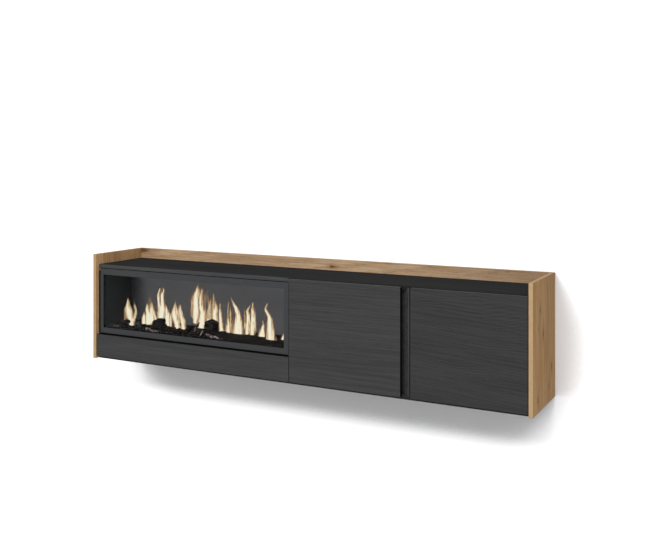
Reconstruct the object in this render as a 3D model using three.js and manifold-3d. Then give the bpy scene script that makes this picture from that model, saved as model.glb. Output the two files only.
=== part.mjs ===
// Wall-hung low cabinet with an electric fireplace, a push-open drawer and two doors.
// Millimetres. X runs along the wall, +Y points into the wall, +Z is up. The wall plane is Y = 0,
// and the height zero of the exported group is the middle of the rear rail's wall face.
import * as THREE from "three";
import { mergeVertices } from "three/addons/utils/BufferGeometryUtils.js";
import Module from "manifold-3d";

const wasm = await Module();
wasm.setup();

// Driving dimensions of the cabinet
const cabinetWidth = 2000;
const cabinetDepth = 330;
const cabinetHeight = 470;
const board = 16;
const backBoard = 3;
const seat = 0.3;
const overrun = 5;

// Front view: how the fronts sit between the side panels
const topSetDown = 46.5;
const frontSetBack = 2;
const frontAirGap = 1.5;
const frontGap = 3;
const frontFoot = 10;
const frontTopDrop = 2.2;
const rightDoorWidth = 440;
const channelWidth = 40;
const centreDoorWidth = 479;
const rightDoorOverlay = 7;
const drawerFrontHeight = 100;
const shadowGap = 5;

// Rear rail that carries the cabinet on the wall
const railHeight = 120;

// Insides
const insertShelfRearSpace = 60;
const insertShelfSetBack = 8;
const centreShelfSetBack = 40.5;
const rightShelfSetBack = 20.5;

// Finger channel beside the centre door
const gripDepth = 38;
const gripLand = 5;
const gripCove = 4;
const gripCovePoints = 6;
const gripBoard = 12;
const gripReach = 35;

// Fireplace insert: frame, window and steel casing
const fillerWidth = 12;
const frameThickness = 2;
const frameLeftBar = 17;
const frameTopBar = 27;
const frameBottomBar = 24;
const frameRightBar = 22;
const frameLap = 5;
const frameTopGap = 2.5;
const windowLap = 4;
const roofLap = 6;
const glassThickness = 4;
const sheet = 1.2;
const casingRearSpace = 27.5;
const casingCrown = 12;
const screenThickness = 3;

// Ember bed and logs
const bedHeight = 33;
const bedFrontHeight = 22;
const bedRearHeight = 30;
const bedFrontGap = 6;
const bedRamp = 40;
const logRadius = 25;
const logLength = 72;
const logTaperShare = 0.9;
const logSides = 10;
const logRings = 5;
const logKnobShare = 0.12;
const logLobes = 3;
const logHollows = 2;
const logTwist = 8;
const logs = [
  { name: "log_left", placeShare: -0.2265, turn: 1.9, depthShare: 0.22807 },
  { name: "log_right", placeShare: 0.015, turn: 1.75, depthShare: 0.97134 },
];

// Flicker rotor, its motor, lamp strip, control box and power inlet
const rotorRadius = 20;
const rotorGap = 14.25;
const rotorBlades = 4;
const rotorBlade = 1.6;
const rotorRise = 46;
const rotorShaftRadius = 3;
const rotorEndGap = 20;
const shaftClearance = 0.3;
const shaftOverhang = 3;
const pinSides = 16;
const motorRadius = 21;
const motorLength = 30;
const motorSides = 24;
const motorSocketDepth = 6;
const lampStripWidth = 10;
const lampStripThickness = 1.6;
const lampStripEndGap = 30;
const lampStripGap = 4;
const controlWidth = 120;
const controlHeight = 60;
const controlAir = 38.5;
const controlGap = 40;
const inletWidth = 35;
const inletHeight = 28;
const inletRearGap = 3.7;
const inletSocketWidth = 19;
const inletSocketDepth = 12;
const inletSocketHeight = 16;
const inletInset = 80;
const inletDrop = 60;
const slotCount = 12;
const slotWidth = 6;
const slotHeight = 60;
const slotPitch = 18;
const slotDrop = 31;

// Cup hinges. The door turns about an axis near its front corner, and the link follows it.
const pivotInset = 1;
const pivotSetBack = 2;
const cupRadius = 17.5;
const cupWall = 2;
const cupFloor = 1;
const cupDepth = 12;
const cupEdge = 22.5;
const cupRimWidth = 3;
const cupRim = 0.6;
const cupSides = 20;
const boreClearance = 0.3;
const armPinRadius = 2;
const armPinReach = 5;
const armPinDepth = 18.5;
const armCheek = 1.5;
const armWeb = 1.7;
const armNose = 2.8;
const armLength = 50;
const armPlateHeight = 48;
const armPlateWidth = 16;
const linkHeight = 8;
const linkHalf = 1.2;
const linkEyeRadius = 3.2;
const linkSideGap = 0.5;
const linkKneeReach = 38.9;
const linkKneeDepth = 32.9;
const linkTipReach = 32.1;
const linkTipDepth = 6.3;
const linkTipRadius = 1.8;
const hingeInset = 80;

// Push-to-open latches
const latchSize = 14;
const latchLength = 60;
const latchBoreRadius = 3.6;
const latchBoreDepth = 50;
const plungerRadius = 3;
const plungerLength = 44;
const plungerTipRadius = 5;
const plungerTip = 2.5;
const latchStandOff = 0.5;
const latchClearance = 2.7;
const doorLatchRise = 120;

// Drawer box and its slides
const drawerBoard = 12;
const drawerSideGap = 13;
const drawerBoxRise = 24;
const drawerBoxDepth = 250;
const slideSheet = 1.2;
const slideHeight = 20;
const slideRise = 40;
const slideLength = 245;
const slideRunGap = 0.6;
const slideLip = 8.5;

// Finishes
const finish = (color, roughness, metalness = 0) => () =>
  new THREE.MeshStandardMaterial({ color, roughness, metalness });
const oak = finish(0xb08f68, 0.6);
const darkWood = finish(0x434343, 0.55);
const fibreboard = finish(0x6d665c, 0.8);
const drawerWood = finish(0x8c8a86, 0.6);
const blackSteel = finish(0x1b1b1c, 0.5, 0.2);
const frameSteel = finish(0x484848, 0.45, 0.1);
const zinc = finish(0xb9bbbd, 0.35, 0.9);
const clearGlass = finish(0x9aa0a2, 0.05);
const screenPlastic = finish(0x4a4a4a, 0.6);
const emberResin = finish(0x2a2320, 0.9);
const logCeramic = finish(0x4a3f38, 0.85);
const foil = finish(0xcfd2d4, 0.25, 0.8);
const blackPlastic = finish(0x202022, 0.5);
const whitePlastic = finish(0xe6e6e2, 0.5);

// Places that follow from the driving dimensions
const innerX = cabinetWidth / 2 - board;
const frontFaceY = frontSetBack - cabinetDepth;
const frontRearY = frontFaceY + board;
const carcassY = frontRearY + frontAirGap;
const topZ = cabinetHeight - topSetDown;
const topUnderZ = topZ - board;
const railZ = cabinetHeight - railHeight;
const frontTopZ = topZ - frontTopDrop;
const rightDoorX = innerX - frontGap - rightDoorWidth;
const centreDoorX = rightDoorX - channelWidth - centreDoorWidth;
const partitionLeftX = centreDoorX - board;
const partitionRightX = rightDoorX + rightDoorOverlay - board;
const bayRearY = -backBoard - seat;
const wallFaceZ = railZ + railHeight / 2;
const shelfRise = topUnderZ / 2;
const drawerFrontTop = frontFoot + drawerFrontHeight;
const insertShelfRise = drawerFrontTop + frontGap - board;
const drawerBoxTop = insertShelfRise - seat - latchSize - latchClearance;
const frameZ = drawerFrontTop + shadowGap;
const frameX = fillerWidth - innerX;
const frameWidth = partitionLeftX + frameLap - frameX;
const frameHeight = topUnderZ - frameTopGap - frameZ;
const windowWidth = frameWidth - frameLeftBar - frameRightBar;
const windowHeight = frameHeight - frameBottomBar - frameTopBar;
const casingDepth = -board - casingRearSpace - carcassY;
const rearChamber = 2 * (rotorRadius + rotorGap);
const fireDepth = casingDepth - rearChamber - screenThickness;

const model = new THREE.Group();
model.name = "wall_cabinet_with_fireplace";
model.position.z = -wallFaceZ;

// Helpers: meshes, boxes between two corners, prisms, rods and solid cuts
function addMesh(group, name, material, geometry) {
  const mesh = new THREE.Mesh(geometry, material());
  mesh.name = name;
  group.add(mesh);
  return mesh;
}

function addBox(group, name, material, [x0, x1], [y0, y1], [z0, z1]) {
  const mesh = addMesh(group, name, material, new THREE.BoxGeometry(x1 - x0, y1 - y0, z1 - z0));
  mesh.position.set((x0 + x1) / 2, (y0 + y1) / 2, (z0 + z1) / 2);
  return mesh;
}

function addGroup(x, y, z) {
  const group = new THREE.Group();
  group.position.set(x, y, z);
  model.add(group);
  return group;
}

function box([x0, x1], [y0, y1], [z0, z1]) {
  const geometry = new THREE.BoxGeometry(x1 - x0, y1 - y0, z1 - z0);
  return geometry.translate((x0 + x1) / 2, (y0 + y1) / 2, (z0 + z1) / 2);
}

// Outline in X-Y, running up from z0 to z1
function prism(points, z0, z1) {
  const shape = new THREE.Shape(points.map(([x, y]) => new THREE.Vector2(x, y)));
  const options = { depth: z1 - z0, bevelEnabled: false };
  return new THREE.ExtrudeGeometry(shape, options).translate(0, 0, z0);
}

// Outline in Y-Z, running along X from x0 to x1
function prismAlongX(points, x0, x1) {
  const turn = new THREE.Matrix4().set(0, 0, 1, 0, 1, 0, 0, 0, 0, 1, 0, 0, 0, 0, 0, 1);
  return prism(points, x0, x1).applyMatrix4(turn);
}

// Outline in X-Z, running along Y from y0 to y1
function prismAlongY(points, y0, y1) {
  return prism(points, 0, y1 - y0).rotateX(Math.PI / 2).translate(0, y1, 0);
}

function rodAlongX(radius, x0, x1, y, z, sides) {
  const rod = new THREE.CylinderGeometry(radius, radius, x1 - x0, sides).rotateZ(Math.PI / 2);
  return rod.translate((x0 + x1) / 2, y, z);
}

function rodAlongY(radius, y0, y1, x, z, sides) {
  return new THREE.CylinderGeometry(radius, radius, y1 - y0, sides).translate(x, (y0 + y1) / 2, z);
}

function rodAlongZ(radius, z0, z1, x, y, sides) {
  const rod = new THREE.CylinderGeometry(radius, radius, z1 - z0, sides).rotateX(Math.PI / 2);
  return rod.translate(x, y, (z0 + z1) / 2);
}

function solid(geometry) {
  const bare = geometry.clone();
  bare.deleteAttribute("normal");
  bare.deleteAttribute("uv");
  const merged = mergeVertices(bare);
  const mesh = new wasm.Mesh({
    numProp: 3,
    vertProperties: merged.attributes.position.array,
    triVerts: Uint32Array.from(merged.index.array),
  });
  return new wasm.Manifold(mesh);
}

function geometryOf(body) {
  const mesh = body.getMesh();
  const geometry = new THREE.BufferGeometry();
  geometry.setAttribute("position", new THREE.BufferAttribute(mesh.vertProperties, mesh.numProp));
  geometry.setIndex(new THREE.BufferAttribute(mesh.triVerts, 1));
  geometry.computeVertexNormals();
  return geometry;
}

function cut(geometry, ...tools) {
  return geometryOf(tools.reduce((body, tool) => body.subtract(solid(tool)), solid(geometry)));
}

function join(...geometries) {
  return geometryOf(geometries.map(solid).reduce((body, next) => body.add(next)));
}

// Carcass: oak sides and rear rail, dark top, bottom, partitions and shelves
function addCarcass() {
  const carcass = addGroup(0, 0, 0);
  const between = [seat - innerX, innerX - seat];
  const fullDepth = [-cabinetDepth, 0];
  const fullHeight = [0, cabinetHeight];
  addBox(carcass, "side_panel_left", oak, [-innerX - board, -innerX], fullDepth, fullHeight);
  addBox(carcass, "side_panel_right", oak, [innerX, innerX + board], fullDepth, fullHeight);
  addBox(carcass, "rear_rail", oak, between, [-board, 0], [railZ, cabinetHeight]);
  addBox(carcass, "top_board", darkWood, between, [carcassY, -board - seat], [topUnderZ, topZ]);
  addBox(carcass, "bottom_board", darkWood, between, [carcassY, bayRearY], [0, board]);

  const bayFloorZ = board + seat;
  const bayTopZ = topUnderZ - seat;
  const partition = [
    [carcassY, bayFloorZ],
    [bayRearY, bayFloorZ],
    [bayRearY, railZ - seat],
    [-board - seat, railZ - seat],
    [-board - seat, bayTopZ],
    [carcassY, bayTopZ],
  ];
  const leftWall = [partitionLeftX, partitionLeftX + board];
  const rightWall = [partitionRightX, partitionRightX + board];
  addMesh(carcass, "partition_left", darkWood, prismAlongX(partition, ...leftWall));
  addMesh(carcass, "partition_right", darkWood, prismAlongX(partition, ...rightWall));

  const backs = [-backBoard, 0];
  const backHeight = [0, railZ - seat];
  const backJoint = partitionRightX + board / 2;
  const centreBack = [partitionLeftX, backJoint - seat];
  const rightBack = [backJoint, innerX - seat];
  addBox(carcass, "back_panel_centre", fibreboard, centreBack, backs, backHeight);
  addBox(carcass, "back_panel_right", fibreboard, rightBack, backs, backHeight);

  const insertShelf = [insertShelfRise, insertShelfRise + board];
  const leftBay = [seat - innerX, partitionLeftX - seat];
  const insertShelfDepth = [carcassY + insertShelfSetBack, -insertShelfRearSpace];
  addBox(carcass, "insert_shelf", darkWood, leftBay, insertShelfDepth, insertShelf);

  const shelf = [shelfRise, shelfRise + board];
  const centreBay = [leftWall[1] + seat, partitionRightX - seat];
  const rightBay = [rightWall[1] + seat, innerX - seat];
  const centreDepth = [carcassY + centreShelfSetBack, bayRearY];
  const rightDepth = [carcassY + rightShelfSetBack, bayRearY];
  addBox(carcass, "shelf_centre", darkWood, centreBay, centreDepth, shelf);
  addBox(carcass, "shelf_right", darkWood, rightBay, rightDepth, shelf);
}

// Finger channel: a strip with a coved slope, closed behind by two narrow boards
function addFingerChannel() {
  const channel = addGroup(rightDoorX - frontGap, frontFaceY, 0);
  const rearY = board + frontAirGap - seat;
  const slopeX = -gripLand - gripDepth;
  const partitionX = partitionRightX - seat - rightDoorX + frontGap;
  const floorY = gripDepth + gripBoard;
  const wallX = slopeX - gripReach + gripBoard;
  const slope = new THREE.QuadraticBezierCurve(
    new THREE.Vector2(slopeX, gripDepth),
    new THREE.Vector2(slopeX + gripDepth / 2 + gripCove, gripDepth / 2 + gripCove),
    new THREE.Vector2(-gripLand, 0),
  );
  const outline = [
    ...slope.getPoints(gripCovePoints).map((point) => [point.x, point.y]),
    [0, 0],
    [0, rearY],
    [partitionX, rearY],
    [partitionX, floorY],
    [slopeX, floorY],
  ];
  const inside = [board + seat, topUnderZ - seat];
  const strip = prism(outline, inside[0], frontTopZ);
  const underTop = box(
    [slopeX - overrun, overrun],
    [rearY, floorY + overrun],
    [inside[1], frontTopZ + overrun],
  );
  addMesh(channel, "grip_strip", darkWood, cut(strip, underTop));
  const floorX = [wallX - gripBoard, slopeX - seat];
  addBox(channel, "grip_back_strip", darkWood, floorX, [gripDepth, floorY], inside);
  const sideX = [wallX - gripBoard, wallX];
  const sideDepth = [board + frontAirGap, gripDepth - seat];
  addBox(channel, "grip_side_strip", darkWood, sideX, sideDepth, inside);
}

// Cup hinge. In its group the door's turning axis is the origin, side is +1 or -1 towards the
// door's free edge, and panelGap is how far the carcass face lies behind the axis.
function cupBore(side) {
  const rear = board - pivotSetBack;
  const bore = cupRadius + boreClearance;
  const depth = [rear - cupDepth - boreClearance, rear + overrun];
  return rodAlongY(bore, ...depth, side * (cupEdge - pivotInset), 0, cupSides);
}

function stripOutline(points, half) {
  const directions = points.slice(1).map((point, i) => point.clone().sub(points[i]).normalize());
  const offsets = points.map((point, i) => {
    const before = directions[Math.max(i - 1, 0)];
    const after = directions[Math.min(i, directions.length - 1)];
    const bisector = before.clone().add(after).normalize();
    const normal = new THREE.Vector2(-bisector.y, bisector.x);
    const reach = half / normal.dot(new THREE.Vector2(-before.y, before.x));
    return normal.multiplyScalar(reach);
  });
  const left = points.map((point, i) => point.clone().add(offsets[i]));
  const right = points.map((point, i) => point.clone().sub(offsets[i]));
  return [...left, ...right.reverse()].map((point) => [point.x, point.y]);
}

function addHinge(suffix, axisX, side, panelGap, rise) {
  const hinge = addGroup(axisX, frontFaceY + pivotSetBack, rise);
  const rear = board - pivotSetBack;
  const cupBase = rear - cupDepth;
  const rimBase = rear + seat;
  const inner = cupRadius - cupWall;
  const profile = [
    [0, cupBase],
    [cupRadius, cupBase],
    [cupRadius, rimBase],
    [cupRadius + cupRimWidth, rimBase],
    [cupRadius + cupRimWidth, rimBase + cupRim],
    [inner, rimBase + cupRim],
    [inner, cupBase + cupFloor],
    [0, cupBase + cupFloor],
  ];
  const outline = profile.map(([radius, depth]) => new THREE.Vector2(radius, depth));
  const cup = new THREE.LatheGeometry(outline, cupSides);
  cup.translate(side * (cupEdge - pivotInset), 0, 0);
  addMesh(hinge, `hinge_cup_${suffix}`, zinc, cup);

  const across = (a0, a1) => [Math.min(side * a0, side * a1), Math.max(side * a0, side * a1)];
  const face = seat - panelGap;
  const cheekInner = linkHeight / 2 + linkSideGap;
  const cheekOuter = cheekInner + armCheek;
  const nose = armPinDepth - armNose;
  const armDepth = [nose, nose + armLength];
  const plateDepth = [nose + armLength - armPlateWidth, nose + armLength];
  const cheekReach = across(face, armPinReach + armNose);
  const webReach = across(face, face + armWeb);
  const arm = join(
    box(webReach, armDepth, [-cheekOuter, cheekOuter]),
    box(webReach, plateDepth, [-armPlateHeight / 2, armPlateHeight / 2]),
    box(cheekReach, armDepth, [cheekInner, cheekOuter]),
    box(cheekReach, armDepth, [-cheekOuter, -cheekInner]),
    rodAlongZ(armPinRadius, -cheekOuter, cheekOuter, side * armPinReach, armPinDepth, pinSides),
  );
  addMesh(hinge, `hinge_arm_${suffix}`, zinc, arm);

  const bend = [
    [armPinReach, armPinDepth],
    [linkKneeReach, linkKneeDepth],
    [linkTipReach, linkTipDepth],
  ].map(([reach, depth]) => new THREE.Vector2(side * reach, depth));
  const half = linkHeight / 2;
  const eyeHole = armPinRadius + shaftClearance;
  const link = cut(
    join(
      prism(stripOutline(bend, linkHalf), -half, half),
      rodAlongZ(linkEyeRadius, -half, half, bend[0].x, bend[0].y, pinSides),
      rodAlongZ(linkTipRadius, -half, half, bend[2].x, bend[2].y, pinSides),
    ),
    rodAlongZ(eyeHole, -half - overrun, half + overrun, bend[0].x, bend[0].y, pinSides),
  );
  addMesh(hinge, `hinge_link_${suffix}`, zinc, link);
}

function addDoor(name, edgeX, side, width, panelFaceX) {
  const axisX = edgeX + side * pivotInset;
  const door = addGroup(axisX, frontFaceY + pivotSetBack, 0);
  const reach = [-pivotInset, width - pivotInset].map((a) => side * a).sort((a, b) => a - b);
  const slab = box(reach, [-pivotSetBack, board - pivotSetBack], [frontFoot, frontTopZ]);
  const rises = Object.entries({ lower: frontFoot + hingeInset, upper: frontTopZ - hingeInset });
  const bores = rises.map(([, rise]) => cupBore(side).translate(0, 0, rise));
  addMesh(door, name, darkWood, cut(slab, ...bores));
  const panelGap = Math.abs(axisX - panelFaceX);
  for (const [level, rise] of rises) {
    addHinge(`${name.replace("door_", "")}_${level}`, axisX, side, panelGap, rise);
  }
}

// Push-to-open latch: a housing with a blind bore and the plunger that pushes the front open
function addLatch(suffix, x, z) {
  const latch = addGroup(x, frontRearY + seat, z);
  const face = plungerTip + latchStandOff;
  const half = latchSize / 2;
  const body = box([-half, half], [face, face + latchLength], [-half, half]);
  const boreDepth = [face - overrun, face + latchBoreDepth];
  const bore = rodAlongY(latchBoreRadius, ...boreDepth, 0, 0, pinSides);
  addMesh(latch, `latch_housing_${suffix}`, blackPlastic, cut(body, bore));
  const plunger = join(
    rodAlongY(plungerTipRadius, 0, plungerTip, 0, 0, pinSides),
    rodAlongY(plungerRadius, plungerTip / 2, plungerLength, 0, 0, pinSides),
  );
  addMesh(latch, `latch_plunger_${suffix}`, whitePlastic, plunger);
}

// Drawer: a low wide front with a box behind it, on two pairs of nested slide rails
function addDrawer() {
  const drawerX = frontGap - innerX;
  const drawer = addGroup(drawerX, frontFaceY, 0);
  const frontEnds = [0, centreDoorX - frontGap - drawerX];
  const frontHeight = [frontFoot, drawerFrontTop];
  addBox(drawer, "drawer_front", darkWood, frontEnds, [0, board], frontHeight);

  const left = drawerSideGap - frontGap;
  const right = partitionLeftX - drawerSideGap - drawerX;
  const depth = [board + seat, board + seat + drawerBoxDepth];
  const height = [drawerBoxRise, drawerBoxTop];
  addBox(drawer, "drawer_side_left", drawerWood, [left, left + drawerBoard], depth, height);
  addBox(drawer, "drawer_side_right", drawerWood, [right - drawerBoard, right], depth, height);
  const backWidth = [left + drawerBoard + seat, right - drawerBoard - seat];
  addBox(drawer, "drawer_back", drawerWood, backWidth, [depth[1] - drawerBoard, depth[1]], height);
  const bottomHeight = [height[0] - seat - backBoard, height[0] - seat];
  addBox(drawer, "drawer_bottom", fibreboard, [left, right], depth, bottomHeight);

  const rails = [carcassY, carcassY + slideLength].map((y) => y - frontFaceY);
  const base = slideRise;
  const crown = slideRise + slideHeight;
  const wallFaces = { left: [-frontGap, 1], right: [partitionLeftX - drawerX, -1] };
  for (const [name, [faceX, side]] of Object.entries(wallFaces)) {
    const at = (distance) => faceX + side * distance;
    const outer = channelOutline(at(seat), at(seat + slideSheet), at(seat + slideLip), base, crown);
    addMesh(drawer, `slide_outer_${name}`, zinc, prismAlongY(outer, ...rails));
    const mount = drawerSideGap - seat;
    const inset = slideSheet + slideRunGap;
    const inner = channelOutline(
      at(mount),
      at(mount - slideSheet),
      at(seat + inset),
      base + inset,
      crown - inset,
    );
    addMesh(drawer, `slide_inner_${name}`, zinc, prismAlongY(inner, ...rails));
  }
}

// C-shaped outline: web from faceX to webX, lips out to lipX
function channelOutline(faceX, webX, lipX, base, crown) {
  return [
    [faceX, base],
    [lipX, base],
    [lipX, base + slideSheet],
    [webX, base + slideSheet],
    [webX, crown - slideSheet],
    [lipX, crown - slideSheet],
    [lipX, crown],
    [faceX, crown],
  ];
}

// Fireplace insert. Its group starts at the lower left corner of the frame, on the carcass edge.
function addInsert() {
  const insert = addGroup(frameX, carcassY, frameZ);
  const windowX = [frameLeftBar, frameLeftBar + windowWidth];
  const windowZ = [frameBottomBar, frameBottomBar + windowHeight];
  const frameY = [-seat - frameThickness, -seat];
  const plate = box([0, frameWidth], frameY, [0, frameHeight]);
  const hole = box(windowX, [frameY[0] - overrun, overrun], windowZ);
  addMesh(insert, "insert_frame", frameSteel, cut(plate, hole));

  const base = insertShelfRise + board + seat - frameZ;
  const floorZ = base + sheet + seat;
  const roofZ = windowZ[1] + roofLap;
  const crown = roofZ + casingCrown;
  const wallLeft = windowX[0] - windowLap;
  const wallRight = windowX[1] + windowLap;
  const clear = [wallLeft + seat, wallRight - seat];
  const depth = [0, casingDepth];
  const shaftY = (fireDepth + screenThickness + casingDepth) / 2;
  const shaftZ = floorZ + rotorRise;
  const leftEdge = seat - fillerWidth;
  const leftWall = prism(flangedOutline(wallLeft, wallLeft - sheet, leftEdge), base, crown);
  const shaftHole = rodAlongX(
    rotorShaftRadius + shaftClearance,
    wallLeft - sheet - overrun,
    wallLeft + overrun,
    shaftY,
    shaftZ,
    pinSides,
  );
  addMesh(insert, "insert_wall_left", blackSteel, cut(leftWall, shaftHole));
  const rightEdge = partitionLeftX - seat - frameX;
  const rightWall = prism(flangedOutline(wallRight, wallRight + sheet, rightEdge), base, crown);
  addMesh(insert, "insert_wall_right", blackSteel, rightWall);
  addBox(insert, "insert_floor", blackSteel, clear, depth, [base, base + sheet]);
  addBox(insert, "insert_roof", blackSteel, clear, depth, [roofZ, roofZ + sheet]);
  addBox(insert, "insert_glass", clearGlass, clear, [0, glassThickness], [floorZ, roofZ - seat]);
  const screenDepth = [fireDepth, fireDepth + screenThickness];
  addBox(insert, "flame_screen", screenPlastic, clear, screenDepth, [floorZ, roofZ - seat]);

  addEmbersAndLogs(insert, clear, floorZ);
  addBackSheet(insert, [wallLeft - sheet, wallRight + sheet], [base, crown]);
  addRotor(insert, wallLeft, wallRight, shaftY, shaftZ);

  const stripY = screenDepth[1] + lampStripGap;
  const stripEnds = [clear[0] + lampStripEndGap, clear[1] - lampStripEndGap];
  const stripDepth = [stripY, stripY + lampStripWidth];
  const stripHeight = [floorZ, floorZ + lampStripThickness];
  addBox(insert, "lamp_strip", whitePlastic, stripEnds, stripDepth, stripHeight);
}

// Steel sheet bent outwards at its front edge: from the inner face to the outer face, then the lip
function flangedOutline(innerFace, outerFace, lipEnd) {
  return [
    [innerFace, 0],
    [innerFace, casingDepth],
    [outerFace, casingDepth],
    [outerFace, sheet],
    [lipEnd, sheet],
    [lipEnd, 0],
  ];
}

// Short charred log lying on its side, knobbly and thinner towards its ends
function logGeometry() {
  const size = [logRadius, logRadius, logLength, logSides, logRings];
  const geometry = new THREE.CylinderGeometry(...size);
  const spots = geometry.attributes.position;
  for (let i = 0; i < spots.count; i += 1) {
    const along = spots.getY(i) / logLength;
    const angle = Math.atan2(spots.getZ(i), spots.getX(i));
    const taper = 1 - (1 - logTaperShare) * Math.abs(2 * along);
    const lobes = Math.sin(logLobes * angle + logTwist * along);
    const hollows = Math.cos(logHollows * angle - logTwist * along);
    const scale = taper * (1 + logKnobShare * lobes * hollows);
    spots.setX(i, spots.getX(i) * scale);
    spots.setZ(i, spots.getZ(i) * scale);
  }
  return geometry.rotateZ(Math.PI / 2);
}

function addEmbersAndLogs(insert, clear, floorZ) {
  const front = glassThickness + bedFrontGap;
  const rear = fireDepth - seat;
  const bed = [
    [front, floorZ],
    [rear, floorZ],
    [rear, floorZ + bedRearHeight],
    [rear - bedRamp, floorZ + bedHeight],
    [front + bedRamp, floorZ + bedHeight],
    [front, floorZ + bedFrontHeight],
  ];
  addMesh(insert, "ember_bed", emberResin, prismAlongX(bed, ...clear));
  const middle = (clear[0] + clear[1]) / 2;
  const logReach = Math.hypot(logLength / 2, logRadius);
  const logRun = fireDepth - 2 * logReach;
  for (const log of logs) {
    const geometry = logGeometry().rotateZ(log.turn);
    geometry.computeBoundingBox();
    const mesh = addMesh(insert, log.name, logCeramic, geometry);
    const restZ = floorZ + bedHeight + seat - geometry.boundingBox.min.z;
    const restY = logReach + log.depthShare * logRun;
    mesh.position.set(middle + log.placeShare * windowWidth, restY, restZ);
  }
}

// Rear sheet of the casing with its air slots. The power inlet sits behind it with its socket
// facing down, and the control box sits on its inner face.
function addBackSheet(insert, ends, height) {
  const sheetY = [casingDepth + seat, casingDepth + seat + sheet];
  const through = [sheetY[0] - overrun, sheetY[1] + overrun];
  const middle = (ends[0] + ends[1]) / 2;
  const slotZ = [height[1] - slotDrop - slotHeight, height[1] - slotDrop];
  const slots = Array.from({ length: slotCount }, (_, i) => {
    const slotX = middle + (i - slotCount / 2) * slotPitch;
    return box([slotX, slotX + slotWidth], through, slotZ);
  });
  addMesh(insert, "insert_back", blackSteel, cut(box(ends, sheetY, height), ...slots));

  const inletX = [ends[0] + inletInset, ends[0] + inletInset + inletWidth];
  const inletY = [sheetY[1] + seat, casingDepth + casingRearSpace - inletRearGap];
  const inletZ = [height[1] - inletDrop - inletHeight, height[1] - inletDrop];
  const middleOf = ([low, high], size) => [(low + high - size) / 2, (low + high + size) / 2];
  const socket = box(
    middleOf(inletX, inletSocketWidth),
    middleOf(inletY, inletSocketDepth),
    [inletZ[0] - overrun, inletZ[0] + inletSocketHeight],
  );
  addMesh(insert, "power_inlet", blackPlastic, cut(box(inletX, inletY, inletZ), socket));

  const controlX = [inletX[1] + controlGap, inletX[1] + controlGap + controlWidth];
  const controlY = [casingDepth - rearChamber + controlAir, casingDepth];
  const controlZ = [inletZ[1] - controlHeight, inletZ[1]];
  addBox(insert, "control_box", blackPlastic, controlX, controlY, controlZ);
}

// Flicker rotor: a shaft with four bright blades, turned by a small motor at its right end
function addRotor(insert, wallLeft, wallRight, y, z) {
  const motorX = [wallRight - seat - motorLength, wallRight - seat];
  const half = rotorBlade / 2;
  const cross = [];
  for (let blade = 0; blade < rotorBlades; blade += 1) {
    const turn = (2 * Math.PI * blade) / rotorBlades;
    for (const [u, v] of [[half, half], [rotorRadius, half], [rotorRadius, -half]]) {
      const across = u * Math.cos(turn) + v * Math.sin(turn);
      const up = v * Math.cos(turn) - u * Math.sin(turn);
      cross.push([y + across, z + up]);
    }
  }
  const blades = prismAlongX(cross, wallLeft + rotorEndGap, motorX[0] - rotorEndGap);
  const shaftLeft = wallLeft - sheet - shaftOverhang;
  const shaftRight = motorX[0] + motorSocketDepth - shaftClearance;
  const shaft = rodAlongX(rotorShaftRadius, shaftLeft, shaftRight, y, z, pinSides);
  addMesh(insert, "flame_rotor", foil, join(blades, shaft));

  const socketEnds = [motorX[0] - overrun, motorX[0] + motorSocketDepth];
  const motor = cut(
    rodAlongX(motorRadius, ...motorX, y, z, motorSides),
    rodAlongX(rotorShaftRadius + shaftClearance, ...socketEnds, y, z, pinSides),
  );
  addMesh(insert, "rotor_motor", blackPlastic, motor);
}

addCarcass();
addFingerChannel();
addDoor("door_centre", centreDoorX, 1, centreDoorWidth, partitionLeftX + board);
addDoor("door_right", rightDoorX + rightDoorWidth, -1, rightDoorWidth, innerX);
addDrawer();
addInsert();
addLatch("door", partitionRightX + board + seat + latchSize / 2, doorLatchRise);
addLatch("drawer", (centreDoorX - innerX) / 2, insertShelfRise - seat - latchSize / 2);

export default model;
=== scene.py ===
import math
import random

import bmesh
import bpy
from mathutils import Euler, Matrix, Vector, noise


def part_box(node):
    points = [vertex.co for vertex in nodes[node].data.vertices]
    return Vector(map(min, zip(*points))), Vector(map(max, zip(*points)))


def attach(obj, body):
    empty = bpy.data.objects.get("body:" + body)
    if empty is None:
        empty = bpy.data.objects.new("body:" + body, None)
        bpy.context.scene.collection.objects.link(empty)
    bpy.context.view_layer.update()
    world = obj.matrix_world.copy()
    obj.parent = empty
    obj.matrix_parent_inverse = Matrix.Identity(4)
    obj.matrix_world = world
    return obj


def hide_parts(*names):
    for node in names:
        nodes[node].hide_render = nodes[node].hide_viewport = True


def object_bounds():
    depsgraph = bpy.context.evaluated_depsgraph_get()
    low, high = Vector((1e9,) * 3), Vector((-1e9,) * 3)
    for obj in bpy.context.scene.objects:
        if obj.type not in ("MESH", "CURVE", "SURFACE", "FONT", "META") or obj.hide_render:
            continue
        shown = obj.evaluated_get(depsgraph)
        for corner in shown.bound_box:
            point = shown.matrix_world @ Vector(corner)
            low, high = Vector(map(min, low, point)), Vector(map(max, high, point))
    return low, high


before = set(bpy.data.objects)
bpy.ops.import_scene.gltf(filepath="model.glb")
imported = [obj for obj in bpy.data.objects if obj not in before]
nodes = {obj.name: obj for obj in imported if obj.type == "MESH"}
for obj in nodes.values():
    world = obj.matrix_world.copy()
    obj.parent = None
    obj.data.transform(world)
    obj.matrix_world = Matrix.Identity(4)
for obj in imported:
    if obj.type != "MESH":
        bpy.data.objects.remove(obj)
cad_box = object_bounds()

# Unseeded, the noise that shapes coals, sticks and logs would follow the clock
NOISE_SEED = 7
noise.seed_set(NOISE_SEED)

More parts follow.
